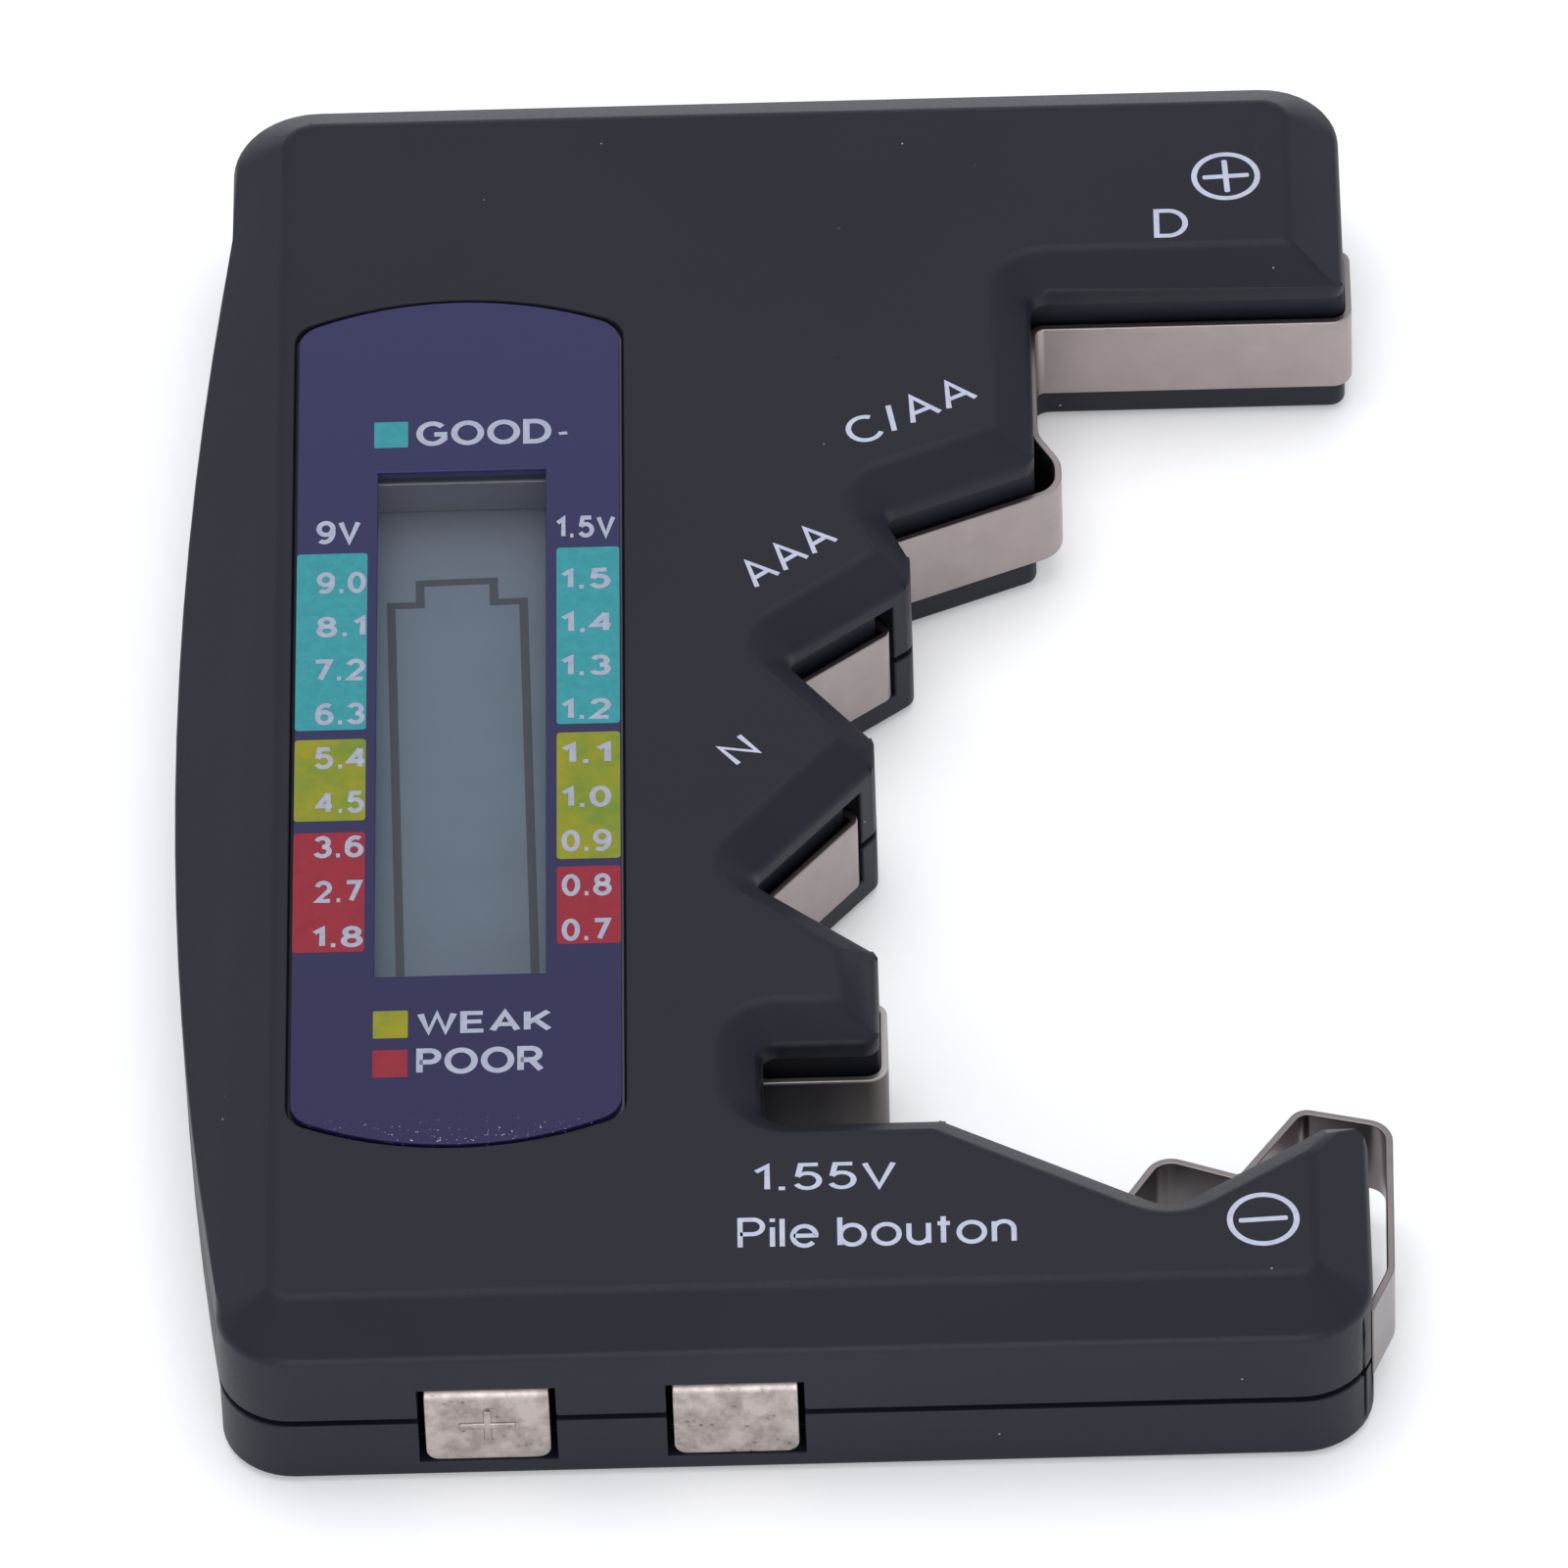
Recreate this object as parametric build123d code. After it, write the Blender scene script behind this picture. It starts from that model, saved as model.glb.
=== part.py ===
from build123d import *
import os
from math import atan2, cos, degrees, radians, sin, tan

# Battery tester with a stepped mouth, lying on its back. The origin is under the middle of its
# box, X runs to the right across the face, Y towards the far edge and Z up out of the face. mm.

# Case
LENGTH = 92.2
THICK = 10.8
PARTING = 4.3
LEFT = -28.85
BULGE_OUT = 2.65
BULGE_FROM = -41.0
BULGE_TO = 36.3
RIGHT_LOWER = 30.1
WALL = 1.5
FACE_WALL = 1.4
FLOOR = 1.4
SHOULDER_Z = 8.2
SHOULDER_INSET = 3.2
GROOVE_HIGH = 0.36
GROOVE_DEEP = 0.45
FOOT_EDGE = 0.4
LIP_OUT = 0.75
LIP_HIGH = 0.9
LIP_GAP = 0.06

# Chamfers round the face: run is measured across the face, drop down the wall
OUTER_RUN = 2.9
OUTER_DROP = 1.9
MOUTH_RUN = 2.0
MOUTH_DROP = 1.5

# Steps of the mouth: inner corner, angle of the face that meets the battery, X of the arm's end
STEPS = {
    "d": (13.95, 30.2, 0.0, 30.8),
    "c_aa": (5.75, 13.89, 23.0, 13.95),
    "aaa": (0.41, 3.08, 37.7, 7.27),
    "n": (-1.45, -13.15, 50.5, 5.2),
    "button": (-1.0, -25.05, 0.0, 5.2),
}
POCKET_FLOOR = -30.6
SLOPE_START = (8.38, POCKET_FLOOR)
VALLEY = (19.99, -37.17)
TIP_Y = -31.9
TIP_ANGLE = 34.3

# Corner radii of the outline
CONCAVE_R = 1.0
CONVEX_R = 0.8
POCKET_R = 1.5
VALLEY_R = 2.0
FAR_LEFT_R = 4.6
FAR_RIGHT_R = 4.2
NEAR_R = 3.8

# Contact strips, in a channel of the wall that is wider than they are
STRIP_THICK = 0.4
STRIP_LOW = 1.95
STRIP_HIGH = 6.75
CHANNEL_LOW = 1.8
CHANNEL_HIGH = 8.3
CHANNEL_DEEP = 0.6
SLOT_WIDE = 0.7
TAIL = 4.0
END_POST = 1.2
HOOK = 1.3
LOOP_X = 15.2
LOOP_TOP = 22.0
LOOP_SIDE = 19.9
D_WRAP = 35.4
B_WRAP = -19.9
WRAP_IN = 2.4
SLOPE_RUN = 7.6
POSTED = ("aaa", "n")

# Negative spring: it is pressed in along its own lower leg
PRESS_ANGLE = 247.4
PRESS_TRAVEL = 1.8
SPRING_POINTS = [
    (17.6, -34.3),
    (19.5, -31.15),
    (23.6, -32.75),
    (26.75, -28.12),
    (31.3, -29.3),
    (31.1, -39.4),
]
SPRING_RADII = [1.5, 1.2, 0.5, 0.8, 1.3, 2.0]
LEFT_LEG = 3.4
RIGHT_LEG = 3.1

# Nine volt pads
SNAP_PITCH = 12.67
PAD_X = -15.16
PAD_WIDE = 6.4
PAD_LOW = 1.25
PAD_HIGH = 6.25
PAD_GAP = 0.32
PAD_SUNK = 0.15
PAD_R = 0.7
PAD_TAIL = 5.4

# Label, lens and display
LABEL_X = -16.55
LABEL_WIDE = 17.05
LABEL_TOP = 29.1
LABEL_LOW = -32.8
LABEL_SIDE_TOP = 27.0
LABEL_SIDE_LOW = -30.7
LABEL_R = 1.6
LABEL_THICK = 0.5
LABEL_GAP = 0.22
WINDOW_AT = (-16.37, -2.25)
WINDOW_SIZE = (8.9, 37.1)
LENS_SUNK = 0.15
LENS_SIZE = (11.0, 39.4)
LENS_LOW = 9.7
WELL_SIZE = (9.3, 37.5)
WELL_WALL = 0.8
GLASS_HIGH = 7.3
GLASS_SIZE = (12.8, 45.0)
RUBBER_WIDE = 1.8
GLASS_THICK = 0.7
POLARIZER_THICK = 0.2
FILM_SIZE = (12.4, 40.4)
RAIL_WIDE = 1.0

# Board and what is on it
BOARD_X = (-26.0, -5.6)
BOARD_Y = (-32.0, 28.0)
BOARD_LOW = 3.2
BOARD_THICK = 1.0
STANDOFF_R = 1.6
BOARD_POSTS_X = (-24.0, -7.6)
BOARD_POSTS_Y = (-27.0, 25.8)
RESISTORS = [(-8.4, 20.0), (-8.4, 16.5), (-8.4, 8.0), (-8.4, 4.5), (-8.4, -6.0), (-8.4, -9.5)]
CAPACITORS = [(-24.2, 17.0), (-24.2, 10.0), (-24.2, -12.0)]
CHIP = (-16.4, -2.0, 4.0, 1.1)

# Screws and wires
SCREWS = [(-23.5, 38.6), (25.0, 38.6), (-23.5, -40.0), (21.0, -42.0)]
BOSS_R = 2.3
HEAD_R = 1.8
HEAD_HIGH = 1.4
HEAD_SUNK = 0.3
SHANK_R = 0.85
SHANK_TOP = 8.6
WIRE_D = 1.0

FAR = LENGTH / 2
NEAR = -LENGTH / 2
RIGHT_UPPER = STEPS["d"][3]
INNER_TOP = THICK - FACE_WALL
BOARD_TOP = BOARD_LOW + BOARD_THICK
CHANNEL_Z = (CHANNEL_LOW, CHANNEL_HIGH)
GLASS_MID = GLASS_HIGH - GLASS_THICK
GLASS_LOW = GLASS_MID - GLASS_THICK


def along(point, angle, x):
    """The point at x on the line through point at the angle."""
    return (x, point[1] + (x - point[0]) * tan(radians(angle)))


def step_off(point, angle, distance):
    """The point at a distance from point in the direction of the angle."""
    return (point[0] + distance * cos(radians(angle)), point[1] + distance * sin(radians(angle)))


def block(x, y, z):
    """A box from its lowest to its highest X, Y and Z."""
    size = (x[1] - x[0], y[1] - y[0], z[1] - z[0])
    return Pos((x[0] + x[1]) / 2, (y[0] + y[1]) / 2, (z[0] + z[1]) / 2) * Box(*size)


def turned_block(start, angle, length, side, z):
    """A box that runs from start along the angle, and spans side to its left, and z."""
    low_high = block((0, length), side, z)
    return Pos(start[0], start[1], 0) * Rot(0, 0, angle) * low_high


def layer(sketch, low, high):
    """A flat solid of a sketch between two heights."""
    return extrude(Plane.XY.offset(low) * sketch, amount=high - low)


# ---- Case ----


def mouth_corners(flat_tip):
    """Corners of the mouth from the end of the upper arm to the end of the lower arm."""
    steps = list(STEPS.values())
    corners = [(RIGHT_UPPER, steps[0][1], "convex")]
    for step, following in zip(steps, steps[1:]):
        x, y, angle, _ = step
        next_x, next_y, next_angle, next_end = following
        corners.append((x, y, "concave"))
        if angle != 0.0:
            corners.append((*along((x, y), angle - 90, next_end), "convex"))
        corners.append((*along((next_x, next_y), next_angle, next_end), "convex"))
    corner_x, corner_y, _, _ = steps[-1]
    corners.append((corner_x, corner_y, "concave"))
    corners.append((corner_x, POCKET_FLOOR, "pocket"))
    corners.append((*SLOPE_START, "convex"))
    corners.append((*VALLEY, "valley"))
    if flat_tip:
        tip_x = VALLEY[0] + (TIP_Y - VALLEY[1]) / tan(radians(TIP_ANGLE))
        corners.append((tip_x, TIP_Y, "convex"))
        corners.append((RIGHT_LOWER, TIP_Y, "convex"))
    else:
        corners.append((*along(VALLEY, TIP_ANGLE, RIGHT_LOWER), "convex"))
    return corners


def outline_corners(rounded):
    """Points and radii of the whole outline; the convex ones are rounded only when asked."""
    convex = CONVEX_R if rounded else 0
    radius_of = {"concave": CONCAVE_R, "convex": convex, "pocket": POCKET_R, "valley": VALLEY_R}
    corners = mouth_corners(rounded)
    points = [(x, y) for x, y, _ in corners]
    radii = [radius_of[kind] for _, _, kind in corners]
    points += [(RIGHT_LOWER, NEAR), (LEFT, NEAR), (LEFT, FAR), (RIGHT_UPPER, FAR)]
    radii += [NEAR_R, NEAR_R, FAR_LEFT_R, FAR_RIGHT_R] if rounded else [0, 0, 0, 0]
    return points, radii


def outline(rounded):
    """Outline of the case without its bulge."""
    points, radii = outline_corners(rounded)
    return make_face(FilletPolyline(*points, radius=radii, close=True))


def bulge_outline():
    """The gentle outward curve of the left side, with a strip that overlaps the case."""
    middle = (BULGE_FROM + BULGE_TO) / 2
    overlap = LEFT + WALL
    curve = ThreePointArc((LEFT, BULGE_FROM), (LEFT - BULGE_OUT, middle), (LEFT, BULGE_TO))
    back = Polyline((LEFT, BULGE_TO), (overlap, BULGE_TO), (overlap, BULGE_FROM), (LEFT, BULGE_FROM))
    return make_face(curve + back)


def edge_wedge(wall, turn, reach, run=OUTER_RUN, drop=OUTER_DROP):
    """What a flat chamfer takes off: wall is the side's distance, turn its outward direction."""
    slope = drop / run
    over = BULGE_OUT + 1
    profile = Polyline(
        (wall + over, THICK - drop - over * slope),
        (wall + over, THICK + 1),
        (wall - run - 1 / slope, THICK + 1),
        close=True,
    )
    wedge = extrude(Plane.XZ * make_face(profile), amount=-(reach[1] - reach[0]))
    return Rot(0, 0, turn) * Pos(0, reach[0], 0) * wedge


def corner_cone(before, corner, after, radius, run, drop):
    """What a chamfer takes off round a convex corner, where its two flats blend into a cone."""
    spots = [Vector(*point, 0) for point in (before, corner, after)]
    sides = [(spots[1] - spots[0]).normalized(), (spots[2] - spots[1]).normalized()]
    outward = [Vector(-side.Y, side.X, 0) for side in sides]
    centre = spots[1] - (outward[0] + outward[1]) * (radius / (1 + outward[0].dot(outward[1])))
    slope = drop / run
    tip = THICK - drop + radius * slope
    far = radius + 1.5
    profile = Polyline((0, tip), (far, tip - far * slope), (far, THICK + 1), (0, THICK + 1), close=True)
    turn = outward[0].get_angle(outward[1])
    cone = revolve(Plane.XZ * make_face(profile), axis=Axis.Z, revolution_arc=turn)
    start = degrees(atan2(outward[1].Y, outward[1].X))
    return Pos(centre.X, centre.Y, 0) * Rot(0, 0, start) * cone


def corner_cones():
    """The cones of every convex corner whose two sides have the same chamfer."""
    points, radii = outline_corners(True)
    count = len(points)
    kinds = [kind for _, _, kind in mouth_corners(True)] + ["outer"] * 4
    mixed = (0, count - 5)
    cones = []
    for i, (point, radius, kind) in enumerate(zip(points, radii, kinds)):
        if kind in ("convex", "outer") and i not in mixed:
            size = (OUTER_RUN, OUTER_DROP) if kind == "outer" else (MOUTH_RUN, MOUTH_DROP)
            cones.append(corner_cone(points[i - 1], point, points[(i + 1) % count], radius, *size))
    return cones


def case_blank():
    """The whole outside of the case as one solid, before it is split and hollowed."""
    body = layer(outline(False), 0, THICK)
    top = body.faces().sort_by(Axis.Z)[-1]
    body = chamfer(top.edges(), length=MOUTH_RUN, length2=MOUTH_DROP, reference=top)
    body = body & layer(outline(True), 0, THICK)
    body = body + layer(bulge_outline(), 0, THICK)
    body -= edge_wedge(FAR, 90, (-40, 40))
    body -= edge_wedge(-NEAR, -90, (-40, 40))
    body -= edge_wedge(-LEFT, 180, (-60, 60))
    body -= edge_wedge(RIGHT_UPPER, 0, (20, 60))
    body -= edge_wedge(RIGHT_LOWER, 0, (-60, -25))
    body -= edge_wedge(TIP_Y, 90, (-32, -24), MOUTH_RUN, MOUTH_DROP)
    foot = body.faces().sort_by(Axis.Z)[0]
    body = chamfer(foot.edges(), length=FOOT_EDGE)
    return body


def footprint():
    """The case's outline with its bulge."""
    return outline(True) + bulge_outline()


def inset(amount, whole=False):
    """The outline moved in by an amount; whole includes the bulge."""
    shape = footprint() if whole else outline(True)
    return offset(shape, amount=-amount, kind=Kind.ARC)


def ring(outer, inner, low, high, whole=False):
    """A wall that follows the outline, between two insets."""
    return layer(inset(outer, whole), low, high) - layer(inset(inner, whole), low - 1, high + 1)


def slope_angle():
    """Direction of the long sloped edge of the lower arm, away from the pocket."""
    return degrees(atan2(VALLEY[1] - SLOPE_START[1], VALLEY[0] - SLOPE_START[0]))


def face_length(name):
    """Length of a step's contact face, from its inner corner to the arm's end."""
    x, _, angle, end = STEPS[name]
    return (end - x) / cos(radians(angle))


def step_channels():
    """The channels for the positive strips along the steps, and the slots for their tails."""
    half = SLOT_WIDE / 2
    cuts = []
    for name, (x, y, angle, _) in STEPS.items():
        posted = name in POSTED
        reach = face_length(name) - END_POST if posted else face_length(name) + 1
        cuts.append(turned_block((x, y), angle, reach, (-half, CHANNEL_DEEP), CHANNEL_Z))
        if name != "d":
            cuts.append(turned_block((x, y), angle + 180, TAIL + 1, (-half, half), CHANNEL_Z))
        if posted:
            post = step_off((x, y), angle, reach)
            cuts.append(turned_block(post, angle + 90, HOOK + 0.7, (0, SLOT_WIDE), CHANNEL_Z))
    return cuts


def wrap_channels():
    """The channel down the side of the d step, and the slots that take the ends of the wraps."""
    half = SLOT_WIDE / 2
    d_x, d_y, _, d_end = STEPS["d"]
    b_end = STEPS["button"][3]
    down = block((d_x - CHANNEL_DEEP, d_x + 1), (LOOP_TOP - 0.4, d_y + CHANNEL_DEEP), CHANNEL_Z)
    slots = []
    for end, wrap in ((d_end, D_WRAP), (b_end, B_WRAP)):
        reach_in = end - WRAP_IN - 0.4
        slots.append(block((reach_in, end + 1), (wrap - SLOT_WIDE - 0.1, wrap + half), CHANNEL_Z))
    return [down, *slots]


def floor_channels():
    """The channel for the strip along the pocket's floor and down the slope, and its tail slot."""
    half = SLOT_WIDE / 2
    left = STEPS["button"][0]
    floor = block((left, SLOPE_START[0]), (POCKET_FLOOR - CHANNEL_DEEP, POCKET_FLOOR + half), CHANNEL_Z)
    tail = block((left - TAIL - 1, left + 0.1), (POCKET_FLOOR - half, POCKET_FLOOR + half), CHANNEL_Z)
    slope = turned_block(
        SLOPE_START, slope_angle(), SLOPE_RUN + 0.3, (-CHANNEL_DEEP, 0.01), CHANNEL_Z
    )
    return [floor, tail, slope]


def spring_slots():
    """The two slots in the lower arm that the spring's legs slide in."""
    top = step_off(SPRING_POINTS[0], PRESS_ANGLE, -0.6)
    side = step_off(SPRING_POINTS[-1], PRESS_ANGLE, 0.6)
    left_room = LEFT_LEG + PRESS_TRAVEL + 1.0
    right_room = RIGHT_LEG + PRESS_TRAVEL - 0.4
    return [
        turned_block(top, PRESS_ANGLE, left_room, (-0.6, 1.2), CHANNEL_Z),
        turned_block(side, PRESS_ANGLE, right_room, (-0.45, 0.45), CHANNEL_Z),
    ]


def pad_places():
    """X of the positive and the negative nine volt pad."""
    return (PAD_X, PAD_X + SNAP_PITCH)


def pad_windows():
    """The two square windows in the near wall for the nine volt pads."""
    cuts = []
    for x in pad_places():
        wide = (x - PAD_WIDE / 2 - PAD_GAP, x + PAD_WIDE / 2 + PAD_GAP)
        cuts.append(block(wide, (NEAR - 1, NEAR + WALL + 0.5), (PAD_LOW - 0.02, PAD_HIGH + 0.25)))
    return cuts


def shared_cuts():
    """Everything that is cut out of both halves of the case."""
    groove = (PARTING - GROOVE_HIGH / 2, PARTING + GROOVE_HIGH / 2)
    outside = layer(make_face(Polyline((-40, -60), (40, -60), (40, 60), (-40, 60), close=True)), *groove)
    seam = outside - layer(inset(GROOVE_DEEP, whole=True), *groove)
    return [seam, *step_channels(), *wrap_channels(), *floor_channels(), *spring_slots(), *pad_windows()]


def label_shape(grow=0.0):
    """Outline of the label: straight sides, with a bowed top and a bowed lower end."""
    half = LABEL_WIDE / 2 + grow
    left, right = LABEL_X - half, LABEL_X + half
    top = ThreePointArc(
        (left, LABEL_SIDE_TOP + grow), (LABEL_X, LABEL_TOP + grow), (right, LABEL_SIDE_TOP + grow)
    )
    low = ThreePointArc(
        (right, LABEL_SIDE_LOW - grow), (LABEL_X, LABEL_LOW - grow), (left, LABEL_SIDE_LOW - grow)
    )
    sides = Line(top @ 1, low @ 0) + Line(low @ 1, top @ 0)
    face = make_face(top + sides + low)
    return fillet(face.vertices(), LABEL_R)


def upright(x, y, size, z):
    """A box around x and y in the window's middle, with a size across X and Y."""
    return block((x - size[0] / 2, x + size[0] / 2), (y - size[1] / 2, y + size[1] / 2), z)


def screw_boss(x, y, low, high):
    """A round post of the case round a screw."""
    return Pos(x, y, (low + high) / 2) * Cylinder(BOSS_R, high - low)


def screw_bore(x, y, radius, low, high):
    """A round hole of the case for a screw."""
    return Pos(x, y, (low + high) / 2) * Cylinder(radius, high - low)


def front_case():
    """Upper half: the face, its walls, the label's recess, the lens opening and the bosses."""
    x, y = WINDOW_AT
    upper = case_blank() - block((-40, 40), (-60, 60), (-1, PARTING))
    for cone in corner_cones():
        upper -= cone
    upper -= layer(inset(WALL), PARTING - 1, SHOULDER_Z)
    upper -= layer(inset(SHOULDER_INSET), SHOULDER_Z - 1, INNER_TOP)
    upper -= ring(LIP_OUT - LIP_GAP, WALL + 0.1, PARTING, PARTING + LIP_HIGH + LIP_GAP)
    for sx, sy in SCREWS:
        upper += screw_boss(sx, sy, PARTING, INNER_TOP)
        upper -= screw_bore(sx, sy, SHANK_R + 0.03, PARTING - 1, SHANK_TOP + 0.4)
    upper -= layer(label_shape(LABEL_GAP), THICK - LABEL_THICK, THICK + 1)
    well = (WELL_SIZE[0] + 2 * WELL_WALL, WELL_SIZE[1] + 2 * WELL_WALL)
    upper += upright(x, y, well, (GLASS_HIGH + POLARIZER_THICK, INNER_TOP))
    upper -= upright(x, y, WELL_SIZE, (GLASS_HIGH, THICK))
    upper -= upright(x, y, LENS_SIZE, (LENS_LOW, THICK))
    for side in (-1, 1):
        rail_x = x + side * (GLASS_SIZE[0] + RAIL_WIDE) / 2
        upper += upright(rail_x, y, (RAIL_WIDE, GLASS_SIZE[1] - 8), (GLASS_LOW, INNER_TOP))
    for cut in shared_cuts():
        upper -= cut
    return upper


def back_case():
    """Lower half: the floor, its walls, the lip, the screw posts and the board's standoffs."""
    lower = case_blank() - block((-40, 40), (-60, 60), (PARTING, THICK + 1))
    lower -= layer(inset(WALL), FLOOR, PARTING + 1)
    lower += ring(LIP_OUT, WALL, PARTING, PARTING + LIP_HIGH)
    for x, y in SCREWS:
        lower += screw_boss(x, y, FLOOR - 0.1, PARTING)
        lower -= screw_bore(x, y, SHANK_R + 0.15, -1, PARTING + 1)
        lower -= screw_bore(x, y, HEAD_R + 0.15, -1, HEAD_HIGH + HEAD_SUNK)
    for x in BOARD_POSTS_X:
        for y in BOARD_POSTS_Y:
            high = BOARD_LOW - FLOOR + 0.1
            lower += Pos(x, y, BOARD_LOW - high / 2) * Cylinder(STANDOFF_R, high)
    for x in pad_places():
        shelf_y = NEAR + WALL + 1.2
        lower += block((x - 2, x + 2), (shelf_y, shelf_y + 2), (FLOOR - 0.1, PAD_HIGH - STRIP_THICK))
    for cut in shared_cuts():
        lower -= cut
    return lower


# ---- Metal contacts ----


def bent_strip(points, radii, low=STRIP_LOW, high=STRIP_HIGH):
    """A strip on edge that follows a path and bends with the given radii."""
    path = FilletPolyline(*points, radius=radii)
    return layer(trace(path, line_width=STRIP_THICK), low, high)


def step_tail(name):
    """The inner end of a step's strip, inside the case."""
    x, y, angle, _ = STEPS[name]
    return step_off((x, y), angle + 180, TAIL)


def positive_strip_d_c_aa():
    """One strip: round the d arm's end, along its face, down its side, round and along c/aa."""
    d_x, d_y, _, d_end = STEPS["d"]
    outside = d_end + STRIP_THICK / 2
    c_x, c_y, angle, _ = STEPS["c_aa"]
    down_x = d_x + 0.05
    points = [
        (d_end - WRAP_IN, D_WRAP),
        (outside, D_WRAP),
        (outside, d_y),
        (down_x, d_y),
        (down_x, LOOP_TOP),
        (LOOP_X, LOOP_SIDE),
        along((c_x, c_y), angle, LOOP_X),
        step_tail("c_aa"),
    ]
    return bent_strip(points, [0.6, 0.9, 0.7, 2.0, 2.0, 1.5])


def positive_strip_posted(name):
    """A short strip between a step's inner corner and its end post, hooked in at the post."""
    x, y, angle, _ = STEPS[name]
    reach = face_length(name) - END_POST - SLOT_WIDE / 2
    end = step_off((x, y), angle, reach)
    hook = step_off(end, angle + 90, HOOK)
    return bent_strip([step_tail(name), end, hook], [0.45])


def positive_strip_button():
    """The strip under the finger, bent up round its end and hooked in."""
    x, y, _, end = STEPS["button"]
    outside = end + STRIP_THICK / 2
    points = [(x - TAIL, y), (outside, y), (outside, B_WRAP), (end - WRAP_IN, B_WRAP)]
    return bent_strip(points, [0.9, 0.6])


def negative_strip_button():
    """The strip on the pocket's floor, which carries on down the slope towards the spring."""
    x = STEPS["button"][0]
    slope_end = step_off(SLOPE_START, slope_angle(), SLOPE_RUN)
    return bent_strip([(x - TAIL, POCKET_FLOOR), SLOPE_START, slope_end], [2.0])


def negative_spring():
    """The bent leaf that the battery's negative end presses, with a leg in each slot."""
    left_end = step_off(SPRING_POINTS[0], PRESS_ANGLE, LEFT_LEG)
    right_end = step_off(SPRING_POINTS[-1], PRESS_ANGLE, RIGHT_LEG)
    return bent_strip([left_end, *SPRING_POINTS, right_end], SPRING_RADII)


def nine_volt_pad(x):
    """A square plate in the near wall whose top is bent inwards as a tail."""
    middle = NEAR + PAD_SUNK + STRIP_THICK / 2
    top = PAD_HIGH - STRIP_THICK / 2
    path = FilletPolyline((middle, PAD_LOW), (middle, top), (NEAR + PAD_TAIL, top), radius=0.4)
    profile = Plane.YZ.offset(x - PAD_WIDE / 2) * trace(path, line_width=STRIP_THICK)
    pad = extrude(profile, amount=PAD_WIDE)
    corners = pad.edges().filter_by(Axis.Y).group_by(Axis.Z)[0]
    return fillet(corners, PAD_R)


# ---- Label, lens and display ----


def display_label():
    """The printed sheet on the face, with an opening over the display."""
    x, y = WINDOW_AT
    sheet = layer(label_shape(), THICK - LABEL_THICK, THICK)
    return sheet - upright(x, y, WINDOW_SIZE, (THICK - 1, THICK + 1))


def display_lens():
    """The clear lens: a plate in the case's opening with a raised middle in the label's."""
    x, y = WINDOW_AT
    plate = upright(x, y, LENS_SIZE, (LENS_LOW, THICK - LABEL_THICK))
    return plate + upright(x, y, WINDOW_SIZE, (LENS_LOW, THICK - LENS_SUNK))


def display_layer(size, low, high):
    """One flat layer of the display."""
    return upright(*WINDOW_AT, size, (low, high))


def contact_rubbers():
    """Two striped rubber strips that press the board's contacts on to the display's ends."""
    x, y = WINDOW_AT
    shift = (GLASS_SIZE[1] - RUBBER_WIDE) / 2 - 0.2
    size = (GLASS_SIZE[0] - 1.0, RUBBER_WIDE)
    strips = [upright(x, y + side * shift, size, (BOARD_TOP, GLASS_LOW)) for side in (-1, 1)]
    return Compound(children=strips)


# ---- Board ----


def circuit_board():
    """The board, with a hole over each standoff."""
    board = block(BOARD_X, BOARD_Y, (BOARD_LOW, BOARD_TOP))
    for x in BOARD_POSTS_X:
        for y in BOARD_POSTS_Y:
            board -= screw_bore(x, y, 0.6, BOARD_LOW - 1, BOARD_TOP + 1)
    return board


def chip_blob():
    """The drop of black resin over the meter's chip."""
    x, y, radius, high = CHIP
    ball_r = (radius**2 + high**2) / (2 * high)
    ball = Pos(x, y, BOARD_TOP + high - ball_r) * Sphere(ball_r)
    room = block((x - radius, x + radius), (y - radius, y + radius), (BOARD_TOP, BOARD_TOP + high))
    return ball & room


def surface_parts(places, size):
    """Small flat parts that are soldered on the board's top."""
    x_size, y_size, high = size
    parts = [upright(x, y, (x_size, y_size), (BOARD_TOP, BOARD_TOP + high)) for x, y in places]
    return Compound(children=parts)


# ---- Screws and wires ----


def case_screws():
    """Four self tapping screws with a cross in the head, put in from below."""
    screws = []
    for x, y in SCREWS:
        head = Pos(x, y, HEAD_SUNK + HEAD_HIGH / 2) * Cylinder(HEAD_R, HEAD_HIGH)
        low = HEAD_SUNK + HEAD_HIGH
        shank = Pos(x, y, (low + SHANK_TOP) / 2) * Cylinder(SHANK_R, SHANK_TOP - low)
        depth = (0, HEAD_SUNK + 0.8)
        cross = upright(x, y, (2.2, 0.5), depth) + upright(x, y, (0.5, 2.2), depth)
        screws.append(head + shank - cross)
    return Compound(children=screws)


def wire(points):
    """A round insulated wire, with each bend as large as its two runs allow."""
    spots = [Vector(*point) for point in points]
    runs = [b - a for a, b in zip(spots, spots[1:])]
    radii = []
    for before, after in zip(runs, runs[1:]):
        half_turn = radians(before.get_angle(after) / 2)
        radii.append(0.45 * min(before.length, after.length) / tan(half_turn))
    path = FilletPolyline(*points, radius=radii)
    start = Plane(origin=path @ 0, z_dir=path % 0)
    return sweep(start * Circle(WIRE_D / 2), path=path)


def strip_wire(tail, board_y):
    """A wire from a strip's tail to the board's right edge."""
    x, y = tail
    board_x = BOARD_X[1] - 1.2
    return [
        (x, y, STRIP_HIGH + WIRE_D / 2),
        ((x + board_x) / 2 + 0.6, (2 * y + board_y) / 3, STRIP_HIGH + 0.9),
        (board_x - 0.1, (y + 2 * board_y) / 3, STRIP_HIGH + 0.4),
        (board_x, board_y, BOARD_TOP + 0.4),
    ]


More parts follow.
